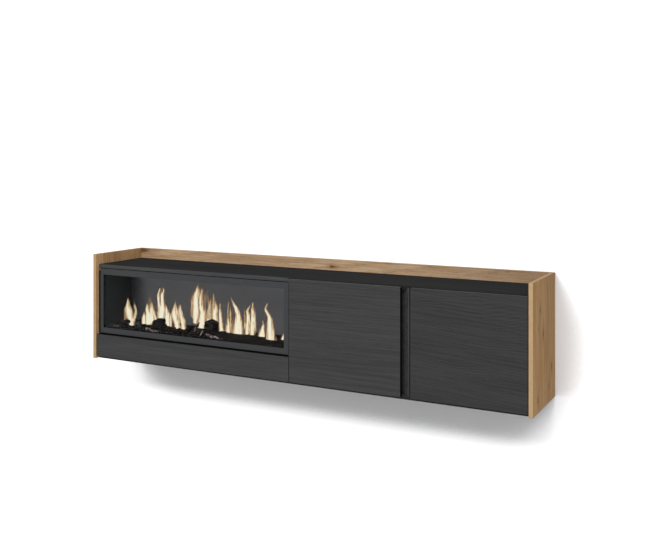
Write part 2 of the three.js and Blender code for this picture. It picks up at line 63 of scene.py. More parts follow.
# Camera, fitted to the straight edges of the cabinet in a frame of 650 by 551 pixels
PICTURE_WIDTH = 650
HORIZON_PIXEL = 158.7
MIDDLE_PIXEL = 275.5
CAMERA_PLACE = Vector((1.7757, -3.3553, 0.4914))
CAMERA_TURN = math.radians(27.73)
LENS = 48.567
SENSOR = 36.0

# Flames are tongues of light in upright sheets. A tongue has a heat and a centre line from its
# foot to its tip, in pixels of the photograph, as (x, y, half width). The cool ones are veils.
FLAMES = [
    [
        (1.0, [(131.6, 325.2, 2.7), (131.2, 321.0, 3.2), (129.9, 316.5, 4.0), (128.6, 310.5, 3.6),
            (128.0, 304.5, 1.9), (128.1, 298.2, 0.4)]),
        (0.8, [(133.6, 320.0, 1.4), (135.2, 316.0, 1.1), (135.6, 310.3, 1.1), (134.7, 305.1, 0.7),
            (134.3, 300.8, 0.3)]),
    ],
    [
        (0.5, [(124.2, 320.5, 2.2), (124.8, 315.5, 2.3), (126.4, 310.0, 1.5), (127.6, 305.0, 0.5)]),
    ],
    [
        (0.95, [(143.7, 324.2, 1.9), (144.0, 318.0, 1.5), (144.1, 312.0, 0.3)]),
        (1.0, [(148.4, 323.4, 4.0), (148.4, 316.0, 3.2), (147.6, 310.0, 2.0), (147.1, 304.4, 0.4)]),
        (0.9, [(152.6, 322.0, 2.8), (151.8, 314.0, 2.3), (152.1, 308.0, 1.3), (151.8, 302.6, 0.4)]),
        (0.8, [(156.0, 320.5, 1.0), (154.9, 316.0, 1.2), (153.5, 308.5, 0.6)]),
        (0.2, [(149.5, 310.0, 6.0), (150.2, 301.0, 5.0), (151.0, 294.0, 2.4)]),
    ],
    [
        (0.95, [(161.4, 320.6, 3.8), (161.2, 314.0, 3.6), (160.9, 309.0, 2.6), (159.3, 304.3, 1.5),
            (158.7, 299.0, 1.3), (158.1, 294.9, 1.0), (159.1, 291.4, 0.7), (160.0, 288.8, 0.3)]),
        (0.95, [(163.6, 320.6, 2.4), (163.4, 309.0, 2.2), (162.9, 304.3, 1.7), (162.4, 299.0, 1.3),
            (162.5, 294.9, 1.0), (163.6, 291.4, 0.9), (163.2, 287.2, 0.4)]),
        (0.3, [(162.4, 318.0, 6.0), (161.8, 305.0, 4.6), (161.0, 295.0, 3.8), (161.4, 286.5, 1.4)]),
    ],
    [
        (1.0, [(168.7, 325.8, 3.0), (167.8, 320.6, 3.6), (167.5, 315.0, 2.9), (166.6, 310.0, 1.7),
            (165.6, 304.5, 0.5)]),
    ],
    [
        (1.0, [(177.4, 328.9, 2.8), (177.4, 325.0, 2.6), (176.0, 320.6, 2.8), (174.4, 316.3, 3.0),
            (174.4, 312.0, 2.6), (175.0, 307.5, 1.6), (175.0, 301.8, 0.4)]),
        (0.95, [(183.9, 329.2, 2.3), (183.3, 325.0, 2.3), (182.8, 320.6, 2.2), (181.6, 316.3, 1.8),
            (180.5, 310.3, 1.5), (180.0, 305.0, 0.5)]),
        (0.8, [(171.2, 325.5, 0.9), (170.8, 320.0, 1.0), (170.2, 314.0, 0.4)]),
        (0.3, [(179.0, 322.0, 4.5), (178.2, 312.0, 3.6), (178.6, 303.0, 1.6)]),
    ],
    [
        (1.0, [(195.6, 322.4, 2.1), (196.2, 315.0, 2.7), (196.0, 305.0, 2.8), (195.8, 297.0, 2.1),
            (197.4, 290.0, 1.4), (197.8, 285.2, 0.5)]),
        (0.36, [(198.5, 318.0, 8.0), (198.4, 306.0, 8.0), (199.0, 297.0, 6.6), (199.4, 291.0, 4.2),
            (199.8, 286.6, 1.6)]),
        (0.18, [(192.4, 316.0, 3.6), (191.8, 305.0, 4.2), (192.0, 295.0, 4.0), (193.4, 289.0, 2.4)]),
    ],
    [
        (1.0, [(201.6, 328.2, 3.6), (201.7, 323.0, 3.8), (202.0, 318.0, 3.2), (202.0, 312.0, 2.3),
            (200.9, 305.0, 1.8), (201.0, 298.0, 1.5), (201.8, 293.0, 1.1), (202.0, 288.4, 0.4)]),
        (0.26, [(207.0, 318.0, 5.0), (207.2, 307.0, 6.4), (207.2, 297.0, 6.8), (206.4, 288.4, 4.4)]),
    ],
    [
        (0.9, [(208.4, 321.0, 2.1), (208.3, 313.0, 1.7), (209.2, 307.0, 1.3), (210.5, 300.8, 0.4)]),
        (0.9, [(215.4, 322.6, 2.6), (215.2, 315.0, 2.4), (215.8, 309.0, 1.7), (215.5, 303.0, 0.5)]),
        (0.34, [(213.0, 320.0, 6.0), (213.0, 308.0, 5.8), (213.0, 299.0, 4.4), (213.5, 292.5, 1.6)]),
    ],
    [
        (1.0, [(221.9, 331.6, 2.2), (221.1, 325.0, 1.7), (220.7, 318.0, 1.4), (220.2, 311.0, 0.9),
            (220.0, 303.6, 0.3)]),
        (0.95, [(228.8, 332.4, 3.5), (228.7, 326.0, 2.0), (228.5, 320.0, 0.5)]),
        (0.34, [(228.4, 326.0, 3.8), (228.8, 314.0, 2.8), (228.4, 306.0, 1.6), (228.0, 299.5, 0.5)]),
        (0.22, [(232.6, 330.0, 3.6), (232.4, 320.0, 3.6), (231.4, 311.0, 2.8), (230.4, 304.0, 1.6)]),
    ],
    [
        (1.0, [(237.9, 333.8, 6.8), (238.0, 330.0, 6.0), (238.2, 325.0, 4.5), (238.5, 320.0, 3.4),
            (238.1, 315.0, 2.5), (236.5, 309.0, 2.3), (233.7, 304.0, 1.6), (231.4, 298.8, 0.4)]),
    ],
    [
        (1.0, [(247.4, 334.4, 2.1), (247.6, 330.0, 2.1), (248.2, 322.0, 1.9), (248.2, 315.0, 1.5),
            (247.2, 310.5, 1.1), (249.8, 306.6, 0.5)]),
        (1.0, [(252.4, 334.9, 2.1), (252.6, 328.0, 2.2), (252.7, 320.0, 1.9), (252.4, 314.0, 1.7),
            (252.2, 309.0, 1.3), (252.8, 303.6, 0.5)]),
        (0.32, [(255.0, 331.0, 1.8), (255.0, 320.0, 2.2), (254.4, 311.0, 1.8), (253.4, 305.0, 0.9)]),
        (0.24, [(244.2, 327.0, 2.6), (244.2, 316.0, 3.4), (243.4, 307.0, 2.6)]),
    ],
    [
        (1.0, [(261.8, 336.6, 3.6), (262.4, 330.5, 2.3), (263.2, 325.5, 1.1), (262.8, 320.8, 0.4)]),
    ],
    [
        (1.0, [(270.9, 339.8, 4.6), (270.5, 335.0, 4.2), (270.2, 329.0, 3.7), (270.0, 323.0, 2.9),
            (269.3, 317.0, 2.0), (266.8, 312.0, 1.5), (265.5, 308.0, 1.1), (267.4, 303.6, 0.4)]),
    ],
    [
        (1.0, [(283.0, 339.8, 1.2), (283.3, 336.8, 0.8), (283.5, 333.4, 0.3)]),
    ],
]

# Sheet of a flame, in metres: its cells, its thickness at full heat, how far it sinks into the bed,
# and how far it stays from the glass and the screen
FLAME_CELL = 0.0024
FLAME_DEPTH = 0.008
FLAME_SEAT = 0.003
FLAME_TO_GLASS = 0.03
FLAME_TO_SCREEN = 0.012
# Light of a tongue: how slim it is against its pixels, and how far it fades out below its foot,
# above its tip and beside it
FLAME_SLIM = 0.76
FLAME_FADE = 0.006
TIP_FADE = 0.009
FLAME_GLOW = 0.0105
GLOW_HEAT = 0.26
GLOW_FALL = 0.7
LEAST_HALF = 0.001
# A tongue cools past this share of its height
HOT_SHARE = 0.44
TIP_COOLING = 2.0
# The sheet is closed where it is cooler than this, and reaches this many glows and half widths
LEAST_HEAT = 0.05
GLOW_REACH = 2.2
HALF_REACH = 1.6
# Ragged sides: how far they stray, and how often to a metre
RAGGED = 0.003
RAGGED_ACROSS = 150
RAGGED_UP = 60
RAGGED_LAYER = 3.0
SPINE_STEPS = 40
LEAST_RISE = 1e-6


def camera_from_photo():
    """The camera at the photograph's place, level, with its picture shifted down."""
    data = bpy.data.cameras.new("photo_camera")
    data.sensor_fit = "HORIZONTAL"
    data.sensor_width = SENSOR
    data.lens = LENS
    data.shift_y = (HORIZON_PIXEL - MIDDLE_PIXEL) / PICTURE_WIDTH
    camera = bpy.data.objects.new("photo_camera", data)
    camera.location = CAMERA_PLACE
    camera.rotation_euler = Euler((math.pi / 2, 0, CAMERA_TURN))
    bpy.context.scene.collection.objects.link(camera)
    bpy.context.scene.camera = camera


def photo_ray(x, y):
    """Direction from the camera through a pixel of the photograph."""
    focal = LENS / SENSOR * PICTURE_WIDTH
    across = (x - PICTURE_WIDTH / 2) / focal
    down = (y - HORIZON_PIXEL) / focal
    right = Vector((math.cos(CAMERA_TURN), math.sin(CAMERA_TURN), 0))
    ahead = Vector((-math.sin(CAMERA_TURN), math.cos(CAMERA_TURN), 0))
    return ahead + right * across - Vector((0, 0, down))


def on_plane(x, y, axis, place):
    """Point that the photograph shows at a pixel, in the plane where the axis has that place."""
    ray = photo_ray(x, y)
    return CAMERA_PLACE + ray * ((place - CAMERA_PLACE[axis]) / ray[axis])


camera_from_photo()

# Colours


def srgb(red, green, blue):
    """Linear colour of an 8-bit screen colour."""
    def linear(value):
        share = value / 255
        return share / 12.92 if share <= 0.04045 else ((share + 0.055) / 1.055) ** 2.4
    return (linear(red), linear(green), linear(blue), 1.0)


def grey(level):
    return srgb(level, level, level)


# Node helpers


class Tree:
    """A node tree that is filled by short calls. Inputs are sockets or plain values."""

    def __init__(self, tree):
        self.tree = tree

    def add(self, kind, settings=None, **inputs):
        node = self.tree.nodes.new(kind)
        for key, value in (settings or {}).items():
            setattr(node, key, value)
        for key, value in inputs.items():
            self.plug(node.inputs[key.replace("_", " ")], value)
        return node

    def plug(self, socket, value):
        if isinstance(value, bpy.types.NodeSocket):
            self.tree.links.new(value, socket)
        else:
            socket.default_value = value

    def math(self, operation, a, b=0.0, c=0.0):
        node = self.add("ShaderNodeMath", {"operation": operation})
        for socket, value in zip(node.inputs, (a, b, c)):
            self.plug(socket, value)
        return node.outputs[0]

    def times(self, a, b):
        return self.math("MULTIPLY", a, b)

    def ramp(self, value, low, high, start=0.0, end=1.0):
        """value from low..high to start..end, eased at both ends."""
        node = self.add("ShaderNodeMapRange", {"interpolation_type": "SMOOTHSTEP"})
        for socket, given in zip(node.inputs, (value, low, high, start, end)):
            self.plug(socket, given)
        return node.outputs[0]

    def mix(self, share, first, second):
        """Colour between two colours."""
        node = self.add("ShaderNodeMix", {"data_type": "RGBA"}, Factor=share)
        self.plug(node.inputs[6], first)
        self.plug(node.inputs[7], second)
        return node.outputs[2]

    def split(self, vector):
        return self.add("ShaderNodeSeparateXYZ", Vector=vector).outputs

    def join(self, x, y, z):
        return self.add("ShaderNodeCombineXYZ", X=x, Y=y, Z=z).outputs[0]

    def vector(self, operation, a, b=(0.0, 0.0, 0.0), output="Vector"):
        node = self.add("ShaderNodeVectorMath", {"operation": operation})
        self.plug(node.inputs[0], a)
        self.plug(node.inputs[1], b)
        return node.outputs[output]

    def weigh(self, *pairs):
        """Sum of values, each times its share."""
        total = 0.0
        for value, share in pairs:
            total = self.math("MULTIPLY_ADD", value, share, total)
        return total

    def off_middle(self, value, width):
        """value from 0..1 to -width/2..width/2."""
        return self.times(self.math("SUBTRACT", value, 0.5), width)

    def noise(self, vector, scale, detail=3.0, roughness=0.5):
        """Noise from 0 to 1. scale is its steps to a metre, as one number or one for each axis."""
        if isinstance(scale, tuple):
            vector = self.vector("MULTIPLY", vector, scale)
            scale = 1.0
        kind = "ShaderNodeTexNoise"
        return self.add(kind, Vector=vector, Scale=scale, Detail=detail, Roughness=roughness).outputs[0]

    def crack_distance(self, vector, scale):
        kind = "ShaderNodeTexVoronoi"
        node = self.add(kind, {"feature": "DISTANCE_TO_EDGE"}, Vector=vector, Scale=scale)
        return node.outputs["Distance"]


KINDS = {float: "NodeSocketFloat", tuple: "NodeSocketVector", list: "NodeSocketColor"}


def new_group(name, inputs, outputs):
    """Shader node group. inputs maps a name to its default, whose type gives the socket's: a
    number, a tuple for a vector or a list for a colour. outputs maps a name to such a type."""
    group = bpy.data.node_groups.new(name, "ShaderNodeTree")
    for title, default in inputs.items():
        kind = KINDS[type(default)]
        socket = group.interface.new_socket(title, in_out="INPUT", socket_type=kind)
        socket.default_value = default
    for title, kind in outputs.items():
        group.interface.new_socket(title, in_out="OUTPUT", socket_type=KINDS[kind])
    tree = Tree(group)
    entry = group.nodes.new("NodeGroupInput")
    leave = group.nodes.new("NodeGroupOutput")
    return group, tree, entry.outputs, leave.inputs


def wood_grain_group():
    """Grain of a board that runs along X and is seen from Y: growth rings, slow changes of tone,
    fibre bundles, single fibres and open pores."""
    group, tree, given, out = new_group(
        "wood_grain",
        {
            "Vector": (0.0, 0.0, 0.0),
            "Ring Spacing": 0.012,
            "Pith Height": 0.1,
            "Pith Depth": 0.12,
            "Tilt": 0.15,
            "Waviness": 0.02,
        },
        {"Rings": float, "Broad": float, "Streaks": float, "Fine": float, "Pores": float},
    )
    place = given["Vector"]
    along, depth, up = tree.split(place)
    slow = tree.noise(place, (1.1, 4.0, 4.0), 2.0)
    quick = tree.off_middle(tree.noise(place, (5.0, 24.0, 24.0), 2.0), 0.012)
    sway = tree.math("MULTIPLY_ADD", tree.off_middle(slow, 1.0), given["Waviness"], quick)
    high = tree.math("ADD", tree.math("SUBTRACT", up, given["Pith Height"]), sway)
    deep = tree.math("MULTIPLY_ADD", along, given["Tilt"], tree.math("ADD", depth, given["Pith Depth"]))
    square = tree.math("MULTIPLY_ADD", high, high, tree.times(deep, deep))
    turns = tree.math("DIVIDE", tree.math("SQRT", square), given["Ring Spacing"])
    season = tree.math("FRACT", tree.math("MULTIPLY_ADD", slow, 1.6, turns))
    rings = tree.times(tree.ramp(season, 0.0, 0.7), tree.ramp(season, 0.78, 1.0, 1.0, 0.0))
    clear = tree.ramp(tree.noise(place, (0.9, 8.0, 8.0), 2.0), 0.38, 0.62, 0.1, 1.0)
    rings = tree.math("MULTIPLY_ADD", tree.math("SUBTRACT", rings, 0.5), clear, 0.5)
    pores = tree.noise(place, (40.0, 720.0, 720.0), 1.0, 0.4)
    pores = tree.math("ADD", pores, tree.ramp(rings, 0.1, 0.7, 0.1, 0.0))
    tree.plug(out["Rings"], rings)
    tree.plug(out["Broad"], tree.noise(place, (1.0, 15.0, 15.0), 3.0))
    tree.plug(out["Streaks"], tree.noise(place, (2.4, 120.0, 120.0), 3.0, 0.6))
    tree.plug(out["Fine"], tree.noise(place, (9.0, 300.0, 300.0), 4.0, 0.62))
    tree.plug(out["Pores"], tree.ramp(pores, 0.64, 0.74))
    return group


def knot_group():
    """One knot at a place of a board that runs along X: a dark heart and a brown halo."""
    group, tree, given, out = new_group(
        "knot",
        {"Vector": (0.0, 0.0, 0.0), "Centre": (0.0, 0.0, 0.0), "Size": 0.01},
        {"Heart": float, "Halo": float},
    )
    away = tree.vector("SUBTRACT", given["Vector"], given["Centre"])
    flat = tree.vector("MULTIPLY", away, (0.4, 0.0, 1.0))
    ragged = tree.off_middle(tree.noise(given["Vector"], (60.0, 160.0, 160.0)), 0.9)
    reach = tree.math("DIVIDE", tree.vector("LENGTH", flat, output="Value"), given["Size"])
    near = tree.math("ADD", reach, ragged)
    tree.plug(out["Heart"], tree.ramp(near, 0.3, 0.75, 1.0, 0.0))
    tree.plug(out["Halo"], tree.ramp(near, 0.4, 2.4, 1.0, 0.0))
    return group


def edge_wear_and_highlight_group():
    """Mask of the rubbed edges, which are paler as wear and as painted edge highlight: faces that
    lie square to no axis, broken up by noise.
    """
    group, tree, given, out = new_group(
        "edge_wear_and_highlight",
        {"Normal": (0.0, 0.0, 1.0), "Vector": (0.0, 0.0, 0.0), "Amount": 0.6, "Scale": 60.0},
        {"Mask": float},
    )
    x, y, z = (tree.math("ABSOLUTE", part) for part in tree.split(given["Normal"]))
    most = tree.math("MAXIMUM", tree.math("MAXIMUM", x, y), z)
    edge = tree.ramp(most, 0.93, 0.995, 1.0, 0.0)
    rubbed_and_highlit = tree.ramp(tree.noise(given["Vector"], given["Scale"], 3.0, 0.6), 0.35, 0.6)
    tree.plug(out["Mask"], tree.times(tree.times(edge, rubbed_and_highlit), given["Amount"]))
    return group


def speckle_group():
    """Fine grain of powder coat, moulded plastic or cast parts, with a soft mottle."""
    group, tree, given, out = new_group(
        "speckle",
        {"Vector": (0.0, 0.0, 0.0), "Scale": 900.0, "Mottle Scale": 30.0},
        {"Height": float, "Mottle": float},
    )
    tree.plug(out["Height"], tree.noise(given["Vector"], given["Scale"], 2.0, 0.6))
    tree.plug(out["Mottle"], tree.noise(given["Vector"], given["Mottle Scale"], 3.0, 0.55))
    return group


# Light of a flame from its coolest to its hottest, as colours of an 8-bit screen
FLAME_VEIL = (110, 87, 70)
FLAME_AMBER = (192, 158, 114)
FLAME_RIM = (230, 213, 174)
FLAME_CREAM = (246, 239, 215)


def flame_group():
    """Flame from its heat: brown veil, amber rim and cream core, drawn out in upright wisps."""
    group, tree, given, out = new_group(
        "flame",
        {"Heat": 0.0, "Place": (0.0, 0.0, 0.0)},
        {"Color": list, "Alpha": float},
    )
    wisps = tree.noise(given["Place"], (165.0, 165.0, 14.0), 3.0, 0.6)
    cool = tree.math("SUBTRACT", 1.35, given["Heat"])
    drawn = tree.math("MINIMUM", cool, tree.times(given["Heat"], 2.1))
    heat = tree.math("MULTIPLY_ADD", tree.off_middle(wisps, 2.4), drawn, given["Heat"])
    heat = tree.times(heat, tree.ramp(given["Heat"], 0.02, 0.2))
    veil = tree.mix(tree.ramp(heat, 0.2, 0.54), srgb(*FLAME_VEIL), srgb(*FLAME_AMBER))
    rim = tree.mix(tree.ramp(heat, 0.46, 0.74), veil, srgb(*FLAME_RIM))
    core = tree.mix(tree.ramp(heat, 0.66, 0.9), rim, srgb(*FLAME_CREAM))
    tree.plug(out["Color"], core)
    tree.plug(out["Alpha"], tree.ramp(heat, 0.04, 0.6, 0.0, 0.96))
    return group


GROUPS = {
    "wood_grain": wood_grain_group(),
    "knot": knot_group(),
    "edge_wear_and_highlight": edge_wear_and_highlight_group(),
    "speckle": speckle_group(),
    "flame": flame_group(),
}


def place_group(tree, name, **inputs):
    node = tree.tree.nodes.new("ShaderNodeGroup")
    node.node_tree = GROUPS[name]
    for key, value in inputs.items():
        tree.plug(node.inputs[key.replace("_", " ")], value)
    return node.outputs


def new_material(name, roughness=0.5, metallic=0.0, specular=0.5):
    """A material with one Principled shader. Returns the material, its tree and the shader."""
    material = bpy.data.materials.new(name)
    material.use_nodes = True
    tree = Tree(material.node_tree)
    shader = material.node_tree.nodes["Principled BSDF"]
    shader.inputs["Roughness"].default_value = roughness
    shader.inputs["Metallic"].default_value = metallic
    shader.inputs["Specular IOR Level"].default_value = specular
    return material, tree, shader.inputs


def bump(tree, sockets, height, strength, distance):
    node = tree.add("ShaderNodeBump", Strength=strength, Distance=distance, Height=height)
    tree.plug(sockets["Normal"], node.outputs[0])


def own_place(tree):
    return tree.tree.nodes.new("ShaderNodeTexCoord").outputs["Object"]


def own_normal(tree):
    return tree.tree.nodes.new("ShaderNodeTexCoord").outputs["Normal"]


# How a board's grain lies: the object's axes that run along the grain, through the board's
# thickness and across the grain
FRONT = (0, 1, 2)
FLAT = (0, 2, 1)
SIDE = (2, 0, 1)
STRIP = (2, 1, 0)


def grain_place(tree, lie, offset, lean=0.0):
    """Object coordinates in the order of the grain's axes, leaned by an angle in the board's
    plane, and moved to a fresh spot."""
    parts = tree.split(own_place(tree))
    node = tree.add("ShaderNodeMapping", Vector=tree.join(*(parts[axis] for axis in lie)))
    node.inputs["Rotation"].default_value = (0.0, lean, 0.0)
    node.inputs["Location"].default_value = offset
    return node.outputs[0]


def edge_share(tree, lie):
    """1 on a board's narrow edges and 0 on its two broad faces."""
    facing = tree.math("ABSOLUTE", tree.split(own_normal(tree))[lie[1]])
    return tree.ramp(facing, 0.3, 0.8, 1.0, 0.0)


# Ring Spacing, Pith Height, Pith Depth, Tilt and Waviness of a board's growth rings
FIGURE_INPUTS = ("Ring_Spacing", "Pith_Height", "Pith_Depth", "Tilt", "Waviness")
CALM_FIGURE = (0.009, 0.42, 0.3, 0.03, 0.1)
FLOWING_FIGURE = (0.007, 0.5, 0.25, 0.05, 0.22)
OAK_FIGURE = (0.014, 0.2, 0.3, 0.05, 0.05)

# Oak, its pores, its knots and its edge band, as colours of an 8-bit screen
OAK_PALE = (196, 164, 128)
OAK_DEEP = (157, 125, 91)
OAK_HONEY = (168, 128, 84)
OAK_PORE = (112, 84, 56)
OAK_HALO = (126, 86, 48)
OAK_KNOT = (74, 44, 22)
BAND_PALE = (186, 158, 122)
BAND_DEEP = (162, 133, 99)
HALO_SHARE = 0.5
KNOT_SHARE = 0.72
# Dark wood, in levels of an 8-bit screen: how far the fibres stray from the mean, how much darker
# the pores are and how much paler the rubbed edges are, as wear and painted edge highlight
FIBRE_SWING = 6
PORE_DROP = 18
RUBBED_AND_HIGHLIGHT_LIFT = 30
# How deep the finishes' grain is, in metres
WOOD_RELIEF = 0.0003
OAK_RELIEF = 0.0004
COAT_RELIEF = 0.0003
CHAR_RELIEF = 0.0015


def grain_of(tree, place, figure):
    return place_group(tree, "wood_grain", Vector=place, **dict(zip(FIGURE_INPUTS, figure)))


def dark_wood(name, lie, offset, level, edge_level, figure=CALM_FIGURE, lean=0.0, gloss=0.08, shade=None):
    """Dark grey wood-grain laminate. The levels of its faces and edges are mean greys on an
    8-bit screen. shade is painted shade on its edges: an axis, the two places on it between
    which the painted shade comes in, and the grey it comes to."""
    material, tree, sockets = new_material(name, 0.6, 0.0, gloss)
    grain = grain_of(tree, grain_place(tree, lie, offset, lean), figure)
    tone = tree.weigh(
        (grain["Rings"], 0.1),
        (grain["Broad"], 0.3),
        (grain["Streaks"], 0.6),
        (tree.ramp(grain["Fine"], 0.25, 0.75), 0.2),
    )

    def greys(middle):
        fibres = tree.mix(tree.ramp(tone, 0.4, 0.8), grey(middle - FIBRE_SWING), grey(middle + FIBRE_SWING))
        return tree.mix(tree.times(grain["Pores"], 0.35), fibres, grey(middle - PORE_DROP))

    colour = tree.mix(edge_share(tree, lie), greys(level), greys(edge_level))
    # Paler edges: rubbed wear and painted edge highlight.
    wear_and_highlight = place_group(tree, "edge_wear_and_highlight", Normal=own_normal(tree), Vector=own_place(tree), Amount=0.22)
    colour = tree.mix(wear_and_highlight["Mask"], colour, grey(level + RUBBED_AND_HIGHLIGHT_LIFT))
    # Painted shade: edges beside gaps and in the finger channel are darkened to a set grey.
    if shade:
        axis, start, end, shade_level = shade
        deep = tree.ramp(tree.split(own_place(tree))[axis], start, end)
        colour = tree.mix(tree.times(deep, edge_share(tree, lie)), colour, grey(shade_level))
    tree.plug(sockets["Base Color"], colour)
    tree.plug(sockets["Roughness"], tree.ramp(grain["Fine"], 0.2, 0.8, 0.52, 0.66))
    height = tree.math("SUBTRACT", grain["Fine"], tree.times(grain["Pores"], 0.8))
    bump(tree, sockets, height, 0.3, WOOD_RELIEF)
    return material


def oak(name, offset, lie, tint, honey, dusk=None, knots=()):
    """Matt oak laminate with open pores. tint scales its colours and honey is how much of the
    board is golden. dusk is an axis, the two places on it between which the board darkens, and
    the share of its light that is left. knots holds a place and a size for each knot. The narrow
    edges have a paler band."""
    material, tree, sockets = new_material(name, 0.62, 0.0, 0.1)
    place = own_place(tree)
    parts = tree.split(place)
    board = tree.join(*(parts[axis] for axis in lie))
    grain = grain_of(tree, grain_place(tree, lie, offset), OAK_FIGURE)
    tone = tree.weigh(
        (grain["Rings"], 0.07),
        (grain["Broad"], 0.42),
        (grain["Streaks"], 0.33),
        (tree.ramp(grain["Fine"], 0.25, 0.75), 0.18),
    )

    def tinted(colour):
        return srgb(*(part * share for part, share in zip(colour, tint)))

    colour = tree.mix(tree.ramp(tone, 0.34, 0.66), tinted(OAK_DEEP), tinted(OAK_PALE))
    patches = tree.noise(board, (3.0, 14.0, 14.0))
    colour = tree.mix(tree.ramp(patches, 0.4, 0.66, 0.0, honey), colour, tinted(OAK_HONEY))
    colour = tree.mix(tree.times(grain["Pores"], 0.42), colour, srgb(*OAK_PORE))
    if dusk:
        axis, start, end, left = dusk
        darker = tree.vector("MULTIPLY", colour, (left, left, left))
        colour = tree.mix(tree.ramp(parts[axis], start, end), colour, darker)
    for centre, size in knots:
        spot = tuple(centre[axis] for axis in lie)
        knot = place_group(tree, "knot", Vector=board, Centre=spot, Size=size)
        colour = tree.mix(tree.times(knot["Halo"], HALO_SHARE), colour, srgb(*OAK_HALO))
        colour = tree.mix(tree.times(knot["Heart"], KNOT_SHARE), colour, srgb(*OAK_KNOT))
    band = tree.mix(tree.noise(place, 45.0, 4.0, 0.6), srgb(*BAND_DEEP), srgb(*BAND_PALE))
    tree.plug(sockets["Base Color"], tree.mix(edge_share(tree, lie), colour, band))
    tree.plug(sockets["Roughness"], tree.ramp(grain["Fine"], 0.2, 0.8, 0.54, 0.7))
    height = tree.math("SUBTRACT", grain["Fine"], tree.times(grain["Pores"], 0.9))
    bump(tree, sockets, height, 0.35, OAK_RELIEF)
    return material


def coated(name, colour, roughness, metallic=0.0, grain=900.0, spread=0.12, strength=0.12, specular=0.3):
    """Powder coat, moulded plastic, zinc or fibreboard: speckled, mottled, and paler at edges as
    rubbed wear and painted edge highlight.
    """
    material, tree, sockets = new_material(name, roughness, metallic, specular)
    place = own_place(tree)
    speckle = place_group(tree, "speckle", Vector=place, Scale=grain)
    base = srgb(*colour)
    darker = tuple(part * (1 - spread) for part in base[:3]) + (1.0,)
    lighter = tuple(min(part * (1 + spread), 1.0) for part in base[:3]) + (1.0,)
    shade = tree.mix(tree.ramp(speckle["Mottle"], 0.3, 0.7), darker, lighter)
    # Paler edges: rubbed wear and painted edge highlight.
    wear_and_highlight = place_group(tree, "edge_wear_and_highlight", Normal=own_normal(tree), Vector=place, Amount=0.3)
    rubbed_and_highlit = srgb(*(min(part + RUBBED_AND_HIGHLIGHT_LIFT, 250) for part in colour))
    tree.plug(sockets["Base Color"], tree.mix(wear_and_highlight["Mask"], shade, rubbed_and_highlit))
    rough = tree.ramp(speckle["Mottle"], 0.25, 0.75, roughness - 0.06, roughness + 0.08)
    tree.plug(sockets["Roughness"], rough)
    bump(tree, sockets, speckle["Height"], strength, COAT_RELIEF)
    return material


def clear_glass():
    """Thin clear pane that mostly lets the fire show, with more gloss at a slant."""
    material, tree, sockets = new_material("pane_glass", 0.03, 0.0, 0.5)
    smears = tree.noise(own_place(tree), 9.0, 4.0, 0.6)
    tree.plug(sockets["Roughness"], tree.ramp(smears, 0.3, 0.8, 0.02, 0.05))
    slant = tree.add("ShaderNodeFresnel", IOR=1.45).outputs[0]
    sockets["Base Color"].default_value = srgb(40, 44, 46)
    tree.plug(sockets["Alpha"], tree.ramp(slant, 0.03, 0.9, 0.03, 0.6))
    return material


# Share of the screen's length over which its light comes up, and that light's levels
SCREEN_FADE_SHARE = 0.13
SCREEN_DARK = 10
SCREEN_TOP = 76
SCREEN_CLOUDS = ((62, 62, 66), (73, 73, 74))


def flame_screen_material():
    """Dark screen at the back of the fire that glows grey, and fades to black at its left end."""
    material, tree, sockets = new_material("flame_screen", 0.6, 0.0, 0.1)
    place = own_place(tree)
    low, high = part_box("flame_screen")
    fade = low.x + SCREEN_FADE_SHARE * (high.x - low.x)
    x, _, z = tree.split(place)
    weave = tree.noise(place, 900.0, 1.0)
    tree.plug(sockets["Base Color"], tree.mix(weave, grey(24), grey(31)))
    clouds = tree.ramp(tree.noise(place, (4.0, 4.0, 7.0), 2.0), 0.3, 0.7)
    glow = tree.mix(clouds, *(srgb(*cloud) for cloud in SCREEN_CLOUDS))
    glow = tree.mix(tree.times(tree.ramp(z, low.z, high.z), 0.5), glow, grey(SCREEN_TOP))
    tree.plug(sockets["Emission Color"], tree.mix(tree.ramp(x, low.x, fade), grey(SCREEN_DARK), glow))
    sockets["Emission Strength"].default_value = 1.0
    return material


# Burnt finishes: colours of the char, the ash and the embers, the cover that leaves the char bare
# and the strength of the glow
CHARS = {
    "ember_resin": ((31, 29, 27), (48, 45, 42), (120, 40, 20), 0.6, 0.04),
    "coal": ((26, 23, 22), (66, 60, 58), (150, 52, 24), 0.64, 0.12),
    "ash": ((104, 84, 88), (206, 190, 190), (150, 60, 40), 0.44, 0.12),
    "blue_ash": ((50, 54, 62), (128, 132, 142), (90, 50, 40), 0.56, 0.12),
    "burnt_stick": ((24, 20, 20), (84, 70, 70), (150, 56, 30), 0.62, 0.12),
    "pale_ash": ((120, 116, 110), (196, 188, 180), (120, 60, 40), 0.5, 0.0),
    "log_left_char": ((27, 25, 24), (88, 82, 78), (130, 44, 20), 0.52, 0.06),
    "log_right_char": ((27, 25, 24), (88, 82, 78), (130, 44, 20), 0.52, 0.06),
}
CRACK_COLOUR = (12, 10, 10)


